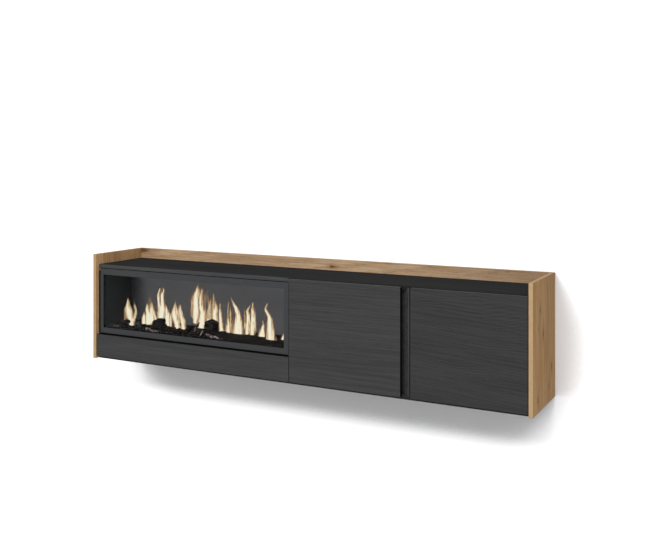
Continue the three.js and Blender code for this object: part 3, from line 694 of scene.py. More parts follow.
def charred(name):
    """Burnt wood and coal: cracked black, grey ash on it and a little red glow."""
    dark, ash, ember, cover, glow = CHARS[name]
    material, tree, sockets = new_material(name, 0.9, 0.0, 0.08)
    place = own_place(tree)
    plates = tree.ramp(tree.crack_distance(place, 130.0), 0.0, 0.16)
    dust = tree.noise(place, 75.0, 4.0, 0.65)
    colour = tree.mix(tree.ramp(dust, cover, cover + 0.14), srgb(*dark), srgb(*ash))
    colour = tree.mix(tree.ramp(plates, 0.0, 0.9, 0.8, 0.0), colour, srgb(*CRACK_COLOUR))
    tree.plug(sockets["Base Color"], colour)
    hot = tree.times(tree.ramp(plates, 0.0, 0.5, 1.0, 0.0), tree.ramp(dust, 0.54, 0.66))
    tree.plug(sockets["Emission Color"], tree.mix(hot, grey(0), srgb(*ember)))
    sockets["Emission Strength"].default_value = glow
    tree.plug(sockets["Roughness"], tree.ramp(dust, 0.3, 0.7, 0.8, 0.97))
    bump(tree, sockets, tree.math("ADD", plates, dust), 0.7, CHAR_RELIEF)
    return material


def flame_material():
    """Light without a body: black, and as clear as the heat of the sheet's corners says."""
    material, tree, sockets = new_material("flame_light", 1.0, 0.0, 0.0)
    heat = tree.split(tree.add("ShaderNodeUVMap", {"uv_map": "heat"}).outputs[0])[0]
    flame = place_group(tree, "flame", Heat=heat, Place=own_place(tree))
    sockets["Base Color"].default_value = grey(0)
    tree.plug(sockets["Emission Color"], flame["Color"])
    sockets["Emission Strength"].default_value = 1.0
    tree.plug(sockets["Alpha"], flame["Alpha"])
    return material


# Materials of the CAD pieces


def dress(names, material):
    for name in names:
        for slot in nodes[name].material_slots:
            slot.material = material


def named(*starts):
    return [name for name in nodes if name.startswith(starts)]


# Knots of the oak boards as pixels of the photograph and a size
RAIL_KNOTS = ((143.5, 249.5, 0.022), (332.0, 266.5, 0.008), (388.5, 262.0, 0.006))
SIDE_KNOTS = (
    (540.4, 310.0, 0.009),
    (543.2, 334.0, 0.012),
    (538.6, 329.0, 0.005),
    (551.6, 366.5, 0.011),
    (549.0, 386.0, 0.006),
    (537.9, 400.5, 0.009),
)
# Oak boards: where each is cut from, how its grain lies, its tint, its golden share and its dusk
# The tints are partly the boards' tone and partly painted light and shade: the left panel's shaded inner
# face is painted paler, the right panel's outer face darker and warmer.
OAK_BOARDS = {
    "oak_rail": ((0.3, 0.0, 0.05), FRONT, (1.06, 1.08, 1.13), 0.2, (0, 0.1, 0.9, 0.72)),
    "oak_left": ((0.2, 0.7, 0.1), SIDE, (1.08, 1.05, 1.0), 0.3),
    "oak_right": ((1.4, 0.3, 0.9), SIDE, (0.94, 0.89, 0.74), 0.9, (1, -0.19, -0.17, 0.86)),
}
# Dark boards: how the grain lies, where it is cut from, and the greys of faces and edges
# The low edge greys of bottom_board, insert_shelf and grip_strip, and the darker grey of the grip's back and
# side strips, are painted shade of the gaps and the finger channel.
DARK_BOARDS = {
    "bottom_board": (FLAT, (1.0, 0.2, 0.7), 60, 34),
    "insert_shelf": (FLAT, (0.5, 0.9, 0.0), 60, 12),
    "shelf_centre": (FLAT, (1.5, 0.5, 0.4), 62, 66),
    "shelf_right": (FLAT, (0.7, 1.1, 0.8), 62, 66),
    "partition_left": (SIDE, (0.4, 0.1, 1.3), 62, 62),
    "partition_right": (SIDE, (1.2, 0.6, 0.2), 62, 62),
    "grip_back_strip": (STRIP, (0.1, 0.5, 0.8), 48, 48),
    "grip_side_strip": (STRIP, (0.9, 0.7, 0.4), 48, 48),
    "top_board": (FLAT, (0.0, 0.4, 0.1), 52, 68),
    "door_centre": (FRONT, (0.9, 0.0, 0.2), 58, 58),
    "drawer_front": (FRONT, (0.1, 0.0, 0.6), 60, 60),
    "grip_strip": (STRIP, (0.6, 0.2, 0.3), 61, 36),
    "door_right": (FRONT, (-0.4, 0.02, 0.35), 52, 52, FLOWING_FIGURE, -0.07),
}
# Painted shade on edges of the dark boards: its grey in the finger channel and along the other
# fronts, its grey on the top board's edge behind the fronts, and the length over which it comes in
PAINTED_SHADE_LEVEL = 3
TOP_EDGE_SHADE_LEVEL = 34
SHADE_RUN = 0.002
# Plain finishes: the starts of the dressed nodes' names, the colour, the roughness and the rest
PLAIN_FINISHES = {
    "fibreboard": (
        ("back_panel_", "drawer_bottom"),
        (118, 108, 95), 0.82, dict(grain=1100.0, spread=0.045, strength=0.3),
    ),
    "drawer_laminate": (("drawer_side_",), (140, 138, 134), 0.6, dict(spread=0.05)),
    "drawer_laminate_back": (("drawer_back",), (138, 136, 132), 0.6, dict(spread=0.05)),
    "black_coat": (
        ("insert_wall", "insert_floor", "insert_roof", "insert_back"),
        (18, 18, 19), 0.6, dict(specular=0.15),
    ),
    "frame_coat": (("insert_frame",), (58, 59, 60), 0.6, dict(grain=1300.0, spread=0.04, specular=0.12)),
    "zinc_plate": (("hinge_", "slide_"), (186, 188, 190), 0.32, dict(metallic=0.9, grain=500.0, spread=0.1)),
    "foil": (
        ("flame_rotor",),
        (208, 210, 213), 0.2, dict(metallic=0.9, grain=200.0, spread=0.06, strength=0.3),
    ),
    "black_plastic": (("rotor_motor", "control_box", "power_inlet"), (32, 32, 34), 0.5, {}),
    "latch_plastic": (("latch_housing",), (36, 36, 38), 0.5, {}),
    "white_plastic": (("lamp_strip", "latch_plunger"), (228, 228, 224), 0.5, {}),
}
# Eased edges of boards, and of sheet and moulded pieces
BOARD_EDGE = 0.0008
SHEET_EDGE = 0.0002
EDGE_ANGLE = math.radians(35)
SMOOTH_ANGLE = math.radians(32)
WELD_DISTANCE = 0.00001


def knots_on(spots, axis, place):
    return [(on_plane(x, y, axis, place), size) for x, y, size in spots]


def shaded_end(name, axis):
    """Painted shade on the end face of a board on the positive side of an axis."""
    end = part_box(name)[1][axis]
    return axis, end - BOARD_EDGE - SHADE_RUN / 4, end - SHADE_RUN / 4, PAINTED_SHADE_LEVEL


def dress_cad():
    rail_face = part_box("rear_rail")[0].y
    side_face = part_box("side_panel_right")[1].x
    rail_knots = knots_on(RAIL_KNOTS, 1, rail_face)
    side_knots = knots_on(SIDE_KNOTS, 0, side_face)
    dress(["rear_rail"], oak("oak_rail", *OAK_BOARDS["oak_rail"], knots=rail_knots))
    dress(["side_panel_left"], oak("oak_left", *OAK_BOARDS["oak_left"]))
    dress(["side_panel_right"], oak("oak_right", *OAK_BOARDS["oak_right"], knots=side_knots))
    fire_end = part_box("insert_frame")[1].x
    # shade entries: painted shade on edges that border gaps or the finger channel
    extras = {
        "top_board": dict(gloss=0.0, shade=(0, fire_end, fire_end + SHADE_RUN, TOP_EDGE_SHADE_LEVEL)),
        "grip_strip": dict(gloss=0.0),
        "door_centre": dict(shade=shaded_end("door_centre", 0)),
        "door_right": dict(shade=shaded_end("door_right", 0)),
        "drawer_front": dict(shade=shaded_end("drawer_front", 2)),
    }
    for name, settings in DARK_BOARDS.items():
        dress([name], dark_wood("wood_" + name, *settings, **extras.get(name, {})))
    for finish, (starts, colour, roughness, rest) in PLAIN_FINISHES.items():
        dress(named(*starts), coated(finish, colour, roughness, **rest))
    dress(["insert_glass"], clear_glass())
    dress(["flame_screen"], flame_screen_material())
    dress(["ember_bed"], charred("ember_resin"))


def shading_group():
    """Geometry nodes that weld a node's split corners and smooth its shallow edges."""
    group = bpy.data.node_groups.new("weld_and_smooth", "GeometryNodeTree")
    for way in ("INPUT", "OUTPUT"):
        group.interface.new_socket("Geometry", in_out=way, socket_type="NodeSocketGeometry")
    tree = Tree(group)
    entry = group.nodes.new("NodeGroupInput")
    leave = group.nodes.new("NodeGroupOutput")
    weld = tree.add("GeometryNodeMergeByDistance", Geometry=entry.outputs[0], Distance=WELD_DISTANCE)
    faces = tree.add("GeometryNodeSetShadeSmooth", {"domain": "FACE"}, Geometry=weld.outputs[0])
    faces.inputs["Shade Smooth"].default_value = True
    angle = tree.add("GeometryNodeInputMeshEdgeAngle").outputs["Unsigned Angle"]
    shallow = tree.math("LESS_THAN", angle, SMOOTH_ANGLE)
    edges = tree.add("GeometryNodeSetShadeSmooth", {"domain": "EDGE"}, Geometry=faces.outputs[0])
    tree.plug(edges.inputs["Shade Smooth"], shallow)
    tree.plug(leave.inputs[0], edges.outputs[0])
    return group


def soften_edges():
    """Eased edges on every CAD node: wider on boards, hair-thin on sheet and moulded pieces."""
    shading = shading_group()
    boards = named("side_", "rear_", "top_", "bottom_", "partition_", "shelf_", "insert_shelf", "door_")
    boards += named("drawer_front", "drawer_side", "drawer_back", "grip_")
    for name, piece in nodes.items():
        if piece.hide_render:
            continue
        piece.modifiers.new("weld_and_smooth", "NODES").node_group = shading
        ease = piece.modifiers.new("eased_edges", "BEVEL")
        ease.width = BOARD_EDGE if name in boards else SHEET_EDGE
        ease.segments = 2
        ease.limit_method = "ANGLE"
        ease.angle_limit = EDGE_ANGLE


# Meshes


def new_piece(name, mesh, body, material=None):
    """Object of the scene that rides on a body and takes its finish from a slot."""
    piece = bpy.data.objects.new(name, mesh)
    bpy.context.scene.collection.objects.link(piece)
    if material:
        mesh.materials.append(material)
    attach(piece, body)
    return piece


def mesh_of(name, work):
    mesh = bpy.data.meshes.new(name)
    bmesh.ops.recalc_face_normals(work, faces=work.faces)
    work.to_mesh(mesh)
    work.free()
    return mesh


def shade_smooth(piece):
    for face in piece.data.polygons:
        face.use_smooth = True


def skin(work, rows):
    """Faces between rows of corners that each run once round the piece."""
    for one, two in zip(rows, rows[1:]):
        for i in range(len(one)):
            j = (i + 1) % len(one)
            work.faces.new((one[i], one[j], two[j], two[i]))


def curve_through(points, share):
    """Point of a smooth curve through the given points, at a share of its way."""
    place = share * (len(points) - 1)
    i = min(int(place), len(points) - 2)
    t = place - i
    before = points[max(i - 1, 0)]
    after = points[min(i + 2, len(points) - 1)]
    p, q = points[i], points[i + 1]
    pull = (q - before) * 0.5
    push = (after - p) * 0.5
    t2, t3 = t * t, t * t * t
    return p * (2 * t3 - 3 * t2 + 1) + pull * (t3 - 2 * t2 + t) + q * (3 * t2 - 2 * t3) + push * (t3 - t2)


class Tongue:
    """One flame tongue in an upright plane: where its middle is, how wide and how hot."""

    def __init__(self, heat, line, depth):
        self.heat = heat
        points = []
        for x, y, half in line:
            centre = on_plane(x, y, 1, depth)
            side = on_plane(x + half, y, 1, depth)
            points.append(Vector((centre.x, centre.z, (side.x - centre.x) * FLAME_SLIM)))
        self.spine = [curve_through(points, step / SPINE_STEPS) for step in range(SPINE_STEPS + 1)]
        self.foot = self.spine[0].y
        self.tip = self.spine[-1].y

    def at(self, z):
        """Middle, half width and strength at a height."""
        share = (z - self.foot) / (self.tip - self.foot)
        strength = self.heat * (1 - TIP_COOLING * max(share - HOT_SHARE, 0.0) ** 2)
        if z <= self.foot:
            fade = math.exp(-(((self.foot - z) / FLAME_FADE) ** 2))
            return self.spine[0].x, self.spine[0].z, self.heat * fade
        if z >= self.tip:
            fade = math.exp(-(((z - self.tip) / TIP_FADE) ** 2))
            return self.spine[-1].x, self.spine[-1].z, strength * fade
        for low, high in zip(self.spine, self.spine[1:]):
            if z <= high.y:
                spot = low.lerp(high, (z - low.y) / max(high.y - low.y, LEAST_RISE))
                return spot.x, spot.z, strength
        return self.spine[-1].x, self.spine[-1].z, strength


def heat_at(x, z, row):
    """Heat of all the tongues together at a place of a row."""
    cool = 1.0
    glow = 0.0
    ragged = noise.noise(Vector((x * RAGGED_ACROSS, z * RAGGED_UP, RAGGED_LAYER))) * RAGGED
    for middle, half, strength in row:
        away = abs(x - middle) + ragged
        core = math.exp(-((away / max(half, LEAST_HALF)) ** 2))
        cool *= 1 - core * strength
        fall = math.exp(-GLOW_FALL * (away / (half + FLAME_GLOW)) ** 2)
        glow = max(glow, GLOW_HEAT * strength * fall)
    return 1 - cool * (1 - glow)


def flame_mesh(name, tongues, depth):
    """Closed sheet of a flame, thicker where it is hotter, with its heat at each corner."""
    reach = GLOW_REACH * FLAME_GLOW
    spots = [spot for tongue in tongues for spot in tongue.spine]
    left = min(spot.x - HALF_REACH * spot.z for spot in spots) - reach
    right = max(spot.x + HALF_REACH * spot.z for spot in spots) + reach
    bottom = bed_height(depth) - FLAME_SEAT
    top = max(tongue.tip for tongue in tongues) + 2 * TIP_FADE
    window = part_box("insert_glass")
    left = max(left, window[0].x + FLAME_SEAT)
    right = min(right, window[1].x - FLAME_SEAT)
    columns = math.ceil((right - left) / FLAME_CELL)
    rows = math.ceil((top - bottom) / FLAME_CELL)
    work = bmesh.new()
    layer = work.loops.layers.uv.new("heat")
    heats = {}

    def corner(x, y, z, heat):
        vertex = work.verts.new((x, y, z))
        heats[vertex] = heat
        return vertex

    grid = []
    for i in range(rows + 1):
        z = bottom + (top - bottom) * i / rows
        row = [tongue.at(z) for tongue in tongues]
        line = []
        for j in range(columns + 1):
            x = left + (right - left) * j / columns
            heat = heat_at(x, z, row)
            rim = i in (0, rows) or j in (0, columns)
            if heat < LEAST_HEAT or rim:
                both = corner(x, depth, z, heat if i == 0 else 0.0)
                line.append((both, both))
            else:
                bulge = FLAME_DEPTH * heat / 2
                line.append((corner(x, depth - bulge, z, heat), corner(x, depth + bulge, z, heat)))
        grid.append(line)
    for low, high in zip(grid, grid[1:]):
        for j in range(columns):
            square = (low[j], low[j + 1], high[j + 1], high[j])
            if all(front is back for front, back in square):
                continue
            fronts = [front for front, _ in square]
            backs = [back for _, back in reversed(square)]
            for face in (work.faces.new(fronts), work.faces.new(backs)):
                for loop in face.loops:
                    loop[layer].uv = (heats[loop.vert], 0.0)
    spare = [vertex for vertex in work.verts if not vertex.link_faces]
    bmesh.ops.delete(work, geom=spare, context="VERTS")
    return mesh_of(name, work)


def add_flames():
    """Flames of the display, each standing on the ember bed where the photograph shows it."""
    material = flame_material()
    bed_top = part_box("ember_bed")[1].z
    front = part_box("insert_glass")[1].y
    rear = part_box("flame_screen")[0].y
    for number, tongues in enumerate(FLAMES, 1):
        foot = max((line[0] for _, line in tongues), key=lambda point: point[1])
        depth = on_plane(foot[0], foot[1], 2, bed_top).y
        depth = min(max(depth, front + FLAME_TO_GLASS), rear - FLAME_TO_SCREEN)
        name = f"flame_{number:02d}"
        mesh = flame_mesh(name, [Tongue(heat, line, depth) for heat, line in tongues], depth)
        piece = new_piece(name, mesh, "cabinet", material)
        piece.visible_shadow = False
        shade_smooth(piece)


# Noise of another seed is cut from another place
SEED_STEP = (3.1, 1.7, 5.3)
# Knobs of a lump and of a stick: how many to its radius or to a metre, and how far they stand out
LUMP_BULGES = (1.3, 0.42)
LUMP_KNOBS = (3.4, 0.16)
LUMP_KNOB_SEED = 7
STICK_KNOBS = 90.0
STICK_ROUGH = 0.35
STICK_SIDES = 10
STICK_RINGS = 12
STICK_BLUNT = 0.04
STICK_ROUND = 0.35


def rough(point, scale, amount, seed):
    """Displacement of a point by smooth noise."""
    place = point * scale + Vector([seed * step for step in SEED_STEP])
    return Vector(noise.noise_vector(place)) * amount


def add_lump(work, centre, size, turn, seed, detail=2):
    """A knobbly lump of coal: size is its half lengths."""
    made = bmesh.ops.create_icosphere(work, subdivisions=detail, radius=1.0)
    for vertex in made["verts"]:
        unit = vertex.co.copy()
        shape = unit + rough(unit, *LUMP_BULGES, seed) + rough(unit, *LUMP_KNOBS, seed + LUMP_KNOB_SEED)
        shape = Vector((shape.x * size[0], shape.y * size[1], shape.z * size[2]))
        vertex.co = Matrix.Rotation(turn, 3, "Z") @ shape + centre


def add_stick(work, start, end, radius, seed):
    """A burnt stick between two points, with a split and knobbly surface and blunt ends."""
    axis = (end - start).normalized()
    turn = axis.to_track_quat("X", "Z").to_matrix()
    rows = []
    for step in range(STICK_RINGS + 1):
        share = step / STICK_RINGS
        blunt = min(max(share, STICK_BLUNT), 1 - STICK_BLUNT)
        round_end = math.sin(math.pi * blunt) ** STICK_ROUND
        middle = start.lerp(end, share)
        row = []
        for side in range(STICK_SIDES):
            angle = 2 * math.pi * side / STICK_SIDES
            spoke = turn @ Vector((0, math.cos(angle), math.sin(angle)))
            spot = middle + spoke * radius * round_end
            spot += rough(spot, STICK_KNOBS, radius * STICK_ROUGH, seed)
            row.append(work.verts.new(spot))
        rows.append(row)
    skin(work, rows)
    for row in (rows[0], rows[-1]):
        work.faces.new(row)


# Ember bed: length and height of the slope at its front, and the rim that pieces keep off
BED_RAMP = 0.04
BED_FRONT_DROP = 0.011
BED_RIM = 0.008
# Rounds after which a spot on the slope is at rest
BED_ROUNDS = 5


def bed_height(y):
    """Height of the ember bed's top at a depth."""
    low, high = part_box("ember_bed")
    front = high.z - BED_FRONT_DROP
    if y < low.y + BED_RAMP:
        return front + (high.z - front) * (y - low.y) / BED_RAMP
    return high.z


# Rows of coals from the glass to the screen: how far in, and how far apart
COAL_ROWS = ((0.012, 0.017), (0.036, 0.021), (0.07, 0.027), (0.115, 0.03), (0.155, 0.032))
# Least and most of a coal's half length, of its length against it and of its height against it
COAL_HALF = (0.0045, 0.0085)
COAL_LENGTH = (0.9, 1.5)
COAL_HEIGHT = (0.55, 0.85)
COAL_NUDGE = 0.007
COAL_SUNK = 0.35
# How far a coal strays from its step, and the seeds of the draws and of the coals' shapes
COAL_STRAY = (0.2, 0.8)
COAL_DRAW = 41
COAL_SEEDS = (0, 50)
# Past this share of the bed's length there is a bare ledge, where coals are smaller and flatter
LEDGE_SHARE = 0.62
LEDGE_SIZE = 0.45
LEDGE_HEIGHT = 0.6

# Burnt sticks: their finish, seed and height above the bed, and pixels of both ends and a radius
STICKS = {
    "ash_pieces": ("ash", 3, 0.0, (
        ((145.5, 329.0), (152.0, 331.4), 0.0065),
        ((150.5, 330.6), (158.6, 333.0), 0.005),
        ((205.8, 335.4), (212.5, 337.4), 0.0062),
        ((211.0, 336.8), (219.0, 339.6), 0.005),
        ((193.0, 336.6), (195.8, 327.0), 0.003),
        ((199.4, 338.2), (203.0, 331.0), 0.0028),
        ((189.4, 334.6), (200.6, 332.6), 0.003),
    )),
    "blue_sticks": ("blue_ash", 11, 0.004, (
        ((136.4, 330.4), (139.8, 321.5), 0.006),
        ((141.0, 329.0), (138.2, 324.0), 0.0045),
        ((194.0, 333.0), (204.5, 329.0), 0.005),
    )),
    "burnt_sticks": ("burnt_stick", 23, 0.004, (
        ((120.8, 324.4), (129.5, 323.0), 0.014),
        ((186.5, 332.0), (193.0, 327.0), 0.007),
        ((191.5, 334.0), (199.5, 336.0), 0.008),
        ((196.5, 328.0), (199.5, 322.5), 0.0035),
        ((171.0, 331.0), (181.0, 332.6), 0.006),
    )),
}
# Pale crumbs of ash as (x, y) pixels and a size, and their half lengths against it
CRUMBS = (
    (114.6, 326.4, 0.0048), (117.6, 326.2, 0.0046), (139.2, 321.6, 0.004), (121.8, 320.8, 0.003),
    (126.0, 321.8, 0.003), (160.6, 332.6, 0.003), (166.4, 333.2, 0.0028), (171.6, 333.6, 0.003),
    (173.6, 330.6, 0.0034), (193.2, 327.0, 0.0036), (196.4, 334.6, 0.0034), (199.6, 338.0, 0.003),
    (202.2, 331.6, 0.0034), (221.6, 340.6, 0.003), (229.5, 341.0, 0.0026), (189.4, 336.8, 0.0026),
)
CRUMB_HALVES = (1.5, 1.0, 0.8)
CRUMB_RISE = 0.002


def on_bed(x, y, rise):
    """Spot above the ember bed that the photograph shows at a pixel."""
    low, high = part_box("ember_bed")
    near = low.y + BED_RIM
    far = high.y - BED_RIM
    spot = on_plane(x, y, 2, high.z + rise)
    for _ in range(BED_ROUNDS):
        depth = min(max(spot.y, near), far)
        spot = on_plane(x, y, 2, bed_height(depth) + rise)
    depth = min(max(spot.y, near), far)
    spot = on_plane(x, y, 1, depth)
    spot.z = bed_height(depth) + rise
    return spot


def add_ember(name, work, finish):
    """A piece of the ember bed from its finished mesh."""
    shade_smooth(new_piece(name, mesh_of(name, work), "cabinet", charred(finish)))


def add_coals():
    """Coals in rows on the ember bed, no two alike."""
    draw = random.Random(COAL_DRAW)
    low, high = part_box("ember_bed")
    span = high.x - low.x
    work = bmesh.new()
    for depth, step in COAL_ROWS:
        for i in range(int(span / step)):
            share = (i + draw.uniform(*COAL_STRAY)) * step / span
            size = draw.uniform(*COAL_HALF)
            spread = draw.uniform(*COAL_LENGTH)
            flat = draw.uniform(*COAL_HEIGHT)
            nudge = draw.uniform(-COAL_NUDGE, COAL_NUDGE)
            turn = draw.uniform(0, math.pi)
            seed = draw.uniform(*COAL_SEEDS)
            if share > LEDGE_SHARE:
                size *= LEDGE_SIZE
                flat *= LEDGE_HEIGHT
            y = low.y + depth + nudge
            halves = (size * spread, size, size * flat)
            centre = Vector((low.x + share * span, y, bed_height(y) + halves[2] * COAL_SUNK))
            add_lump(work, centre, halves, turn, seed)
    add_ember("coals", work, "coal")


def add_sticks():
    """Burnt sticks that lie on the bed, or lean above it where the photograph shows them steep."""
    for name, (finish, seed, rise, sticks) in STICKS.items():
        work = bmesh.new()
        for number, (left, right, radius) in enumerate(sticks):
            foot = on_bed(*left, radius + rise)
            steep = left[1] - right[1] > abs(left[0] - right[0])
            end = on_plane(*right, 1, foot.y) if steep else on_bed(*right, radius + rise)
            add_stick(work, foot, end, radius, seed + number)
        add_ember(name, work, finish)


def add_crumbs():
    work = bmesh.new()
    for number, (x, y, size) in enumerate(CRUMBS):
        halves = [size * share for share in CRUMB_HALVES]
        add_lump(work, on_bed(x, y, size + CRUMB_RISE), halves, number, number, 1)
    add_ember("ash_crumbs", work, "pale_ash")


# Charred logs: corners round them and rings along them, length, turn and slope of each, how square
# and flat they are, and their radius against the plain log's
LOG_SIDES = 48
LOG_RINGS = 30
LOG_LENGTH = 0.07
LOG_TURNS = {"log_left": 1.9, "log_right": 1.75}
LOG_SLOPES = {"log_left": 0.0, "log_right": 0.18}
LOG_SQUARE = 5.0
LOG_FLAT = 0.8
LOG_BULK = 0.9
# Burnt plates, grooves and knobs of the logs: how many to a metre or to a turn, and how far out
PLATES = 85.0
PLATE_RISE = 0.0022
GROOVES_ROUND = 4
GROOVES_ALONG = 9
GROOVE_DEPTH = 0.0016
GROOVE_SEED = 5
LOG_KNOBS = (45.0, 0.0022)
# End grain of the logs: its rings, how far every other one stands proud, and how each steps in
END_RINGS = 8
END_PROUD = 0.0012
END_STEP = 0.0006
END_KNOBS = (70.0, 0.0026)
END_SEED = 3


def add_log(name, number):
    """Detailed charred log in the place of a plain one: cracked bark, sawn end with rings."""
    low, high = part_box(name)
    middle = (low + high) / 2
    turn = LOG_TURNS[name]
    radius = (high.z - low.z) / 2
    axis = Vector((math.cos(turn), math.sin(turn), 0))
    across = Vector((-axis.y, axis.x, 0))
    work = bmesh.new()
    rows = []
    for step in range(LOG_RINGS + 1):
        share = step / LOG_RINGS - 0.5
        row = []
        for side in range(LOG_SIDES):
            angle = 2 * math.pi * side / LOG_SIDES
            spoke = across * math.cos(angle) + Vector((0, 0, 1)) * math.sin(angle)
            squared = abs(math.cos(angle)) ** LOG_SQUARE + abs(math.sin(angle)) ** LOG_SQUARE
            reach = spoke * radius * LOG_BULK * squared ** (-1 / LOG_SQUARE)
            reach.z = reach.z * LOG_FLAT - radius * (1 - LOG_FLAT) - reach.x * LOG_SLOPES[name]
            spot = middle + axis * share * LOG_LENGTH + reach
            plate = (noise.cell(spot * PLATES) - 1.0) * PLATE_RISE
            grain = Vector((angle * GROOVES_ROUND, share * GROOVES_ALONG, number * GROOVE_SEED))
            groove = noise.noise(grain) * GROOVE_DEPTH
            spot += spoke * (plate + groove) + rough(spot, *LOG_KNOBS, number)
            row.append(work.verts.new(spot))
        rows.append(row)
    skin(work, rows)
    for row, outward in ((rows[0], -1), (rows[-1], 1)):
        add_log_end(work, row, axis * outward)
    mesh = mesh_of(name + "_charred", work)
    piece = new_piece(name + "_charred", mesh, "cabinet", charred(name + "_char"))
    shade_smooth(piece)
    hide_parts(name)


def add_log_end(work, row, outward):
    """End grain: rings that step in towards the pith, a little proud and hollow in turn."""
    centre = sum((vertex.co for vertex in row), Vector()) / len(row)
    rows = [row]
    for number in range(1, END_RINGS + 1):
        share = 1 - number / (END_RINGS + 1)
        lift = (END_PROUD if number % 2 else 0.0) + END_STEP * number
        inner = []
        for vertex in row:
            spot = centre.lerp(vertex.co, share) - outward * lift
            inner.append(work.verts.new(spot + rough(spot, *END_KNOBS, END_SEED)))
        rows.append(inner)
    skin(work, rows)
    work.faces.new(rows[-1])


# Fittings: screws, pins, sleeves, bumpers and lamps

HEAD_SIDES = 20
# Rings of a head: share of its radius and share of its height
DOME = ((0.0, 1.0), (0.22, 0.99), (0.4, 0.96), (0.56, 0.9), (0.74, 0.74), (0.9, 0.46), (1.0, 0.0))
ROD = ((0.0, 1.0), (0.6, 1.0), (0.86, 0.97), (1.0, 0.88), (1.0, 0.0))
SLEEVE = ((0.0, 0.05), (0.5, 0.05), (0.56, 0.9), (0.62, 1.0), (0.88, 1.0), (1.0, 0.6), (1.0, 0.0))
# Cross recess of a screw, in shares of its radius and height
CROSS_REACH = 0.5
CROSS_HALF = 0.17
CROSS_DEPTH = 0.5
EAST = Vector((1, 0, 0))
BACK = Vector((0, 1, 0))
UP = Vector((0, 0, 1))

# Radius and height of each kind of head
PLATE_SCREW = (0.0034, 0.0016)
CUP_WING = (0.0068, 0.0007)
CUP_SCREW = (0.0032, 0.0009)
SHELF_PIN = (0.0025, 0.0085)
PIN_SLEEVE = (0.0036, 0.0004)
DRAWER_SCREW = (0.0042, 0.0018)
LAMP_CHIP = (0.002, 0.001)
CASING_SCREW = (0.0036, 0.0018)
INLET_PIN = (0.0011, 0.0125)
LATCH_SCREW = (0.003, 0.0014)
BUMPER_HEIGHT = 0.0011
BUMPER_SHARE = 0.42
# Doors, their bodies and the share of their width at which the bumpers are
BUMPER_SPOTS = (("door_centre", "centre_door", 0.9), ("door_right", "right_door", 0.1))

# Hinges: thickness and width of the arm's plate, and how far its screws and the cup's wings are
# from the middle
HINGE_WEB = 0.0017
HINGE_PLATE = 0.016
HINGE_SCREW_RISE = 0.016
WING_RISE = 0.0232
WING_SHEET = 0.0007
WING_SCREW_SHARE = 0.9
# Shelves: how far the pins are from the front and back edges, and the rows of other holes
PIN_INSET = 0.034
PIN_PITCH = 0.032
PIN_STEPS = (-3, -2, -1, 2, 3)
# Places along a piece, as shares of its length
DRAWER_SCREW_SHARES = (0.05, 0.35, 0.65, 0.95)
CASING_SCREW_SHARES = (0.015, 0.25, 0.5, 0.75, 0.985)
# Fireplace: from the casing's lower and upper edges to its screws, between the lamps, from the
# inlet's face to the foot of its pins, their places in it, and from a latch's ends to its screws
CASING_SCREW_FOOT = 0.012
CASING_SCREW_DROP = 0.008
LAMP_PITCH = 0.03
INLET_DEPTH = 0.016
INLET_PINS = ((-0.0055, -0.0015), (0.0, 0.002), (0.0055, -0.0015))
LATCH_SCREW_INSET = 0.012


def add_turned(work, place, outward, radius, height, rings, crossed):
    """A turned head that stands on a face, with a cross recess if it is a screw."""
    turn = outward.to_track_quat("Z", "Y").to_matrix()
    rows = []
    for reach, rise in rings:
        row = []
        for side in range(HEAD_SIDES if reach else 1):
            angle = 2 * math.pi * side / HEAD_SIDES
            flat = Vector((math.cos(angle), math.sin(angle), 0)) * reach
            sunk = crossed and reach < CROSS_REACH and min(abs(flat.x), abs(flat.y)) < CROSS_HALF
            level = rise - CROSS_DEPTH if sunk else rise
            spot = flat * radius + UP * level * height
            row.append(work.verts.new(place + turn @ spot))
        rows.append(row)
    first = rows[1]
    for i in range(HEAD_SIDES):
        work.faces.new((rows[0][0], first[(i + 1) % HEAD_SIDES], first[i]))
    skin(work, rows[1:])
    work.faces.new(rows[-1])


# Finish of the fittings with each slot
FITTING_FINISHES = {"zinc": "zinc_plate", "black_plastic": "latch_plastic", "white_plastic": "white_plastic"}


def add_fitting(name, body, slot, size, spots, rings=DOME, crossed=False):
    """One piece of many heads. size is their radius and height, and spots holds a place and a
    direction for each."""
    work = bmesh.new()
    for place, outward in spots:
        add_turned(work, place, outward, *size, rings, crossed)
    finish = bpy.data.materials[FITTING_FINISHES[slot]]
    piece = new_piece(name, mesh_of(name, work), body, finish)
    for face in piece.data.polygons:
        face.use_smooth = len(face.vertices) < 5


def add_screws(name, body, size, spots):
    add_fitting(name, body, "zinc", size, spots, DOME, True)


def hinge_fittings(door, body, side):
    """Screws of the arm's plate, and the wings of the cup with their screws."""
    plates = []
    wings = []
    screws = []
    for level in ("lower", "upper"):
        low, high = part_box(f"hinge_arm_{door}_{level}")
        wall = (low.x if side > 0 else high.x) + side * HINGE_WEB
        middle = (low.z + high.z) / 2
        for rise in (-HINGE_SCREW_RISE, HINGE_SCREW_RISE):
            plates.append((Vector((wall, high.y - HINGE_PLATE / 2, middle + rise)), EAST * side))
        low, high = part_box(f"hinge_cup_{door}_{level}")
        middle = (low + high) / 2
        for rise in (-WING_RISE, WING_RISE):
            place = Vector((middle.x, high.y - WING_SHEET, middle.z + rise))
            wings.append((place, BACK))
            screws.append((place + BACK * WING_SHEET * WING_SCREW_SHARE, BACK))
    add_screws(f"hinge_plate_screws_{door}", "cabinet", PLATE_SCREW, plates)
    add_fitting(f"cup_wings_{door}", body, "zinc", CUP_WING, wings, ROD)
    add_screws(f"cup_screws_{door}", body, CUP_SCREW, screws)


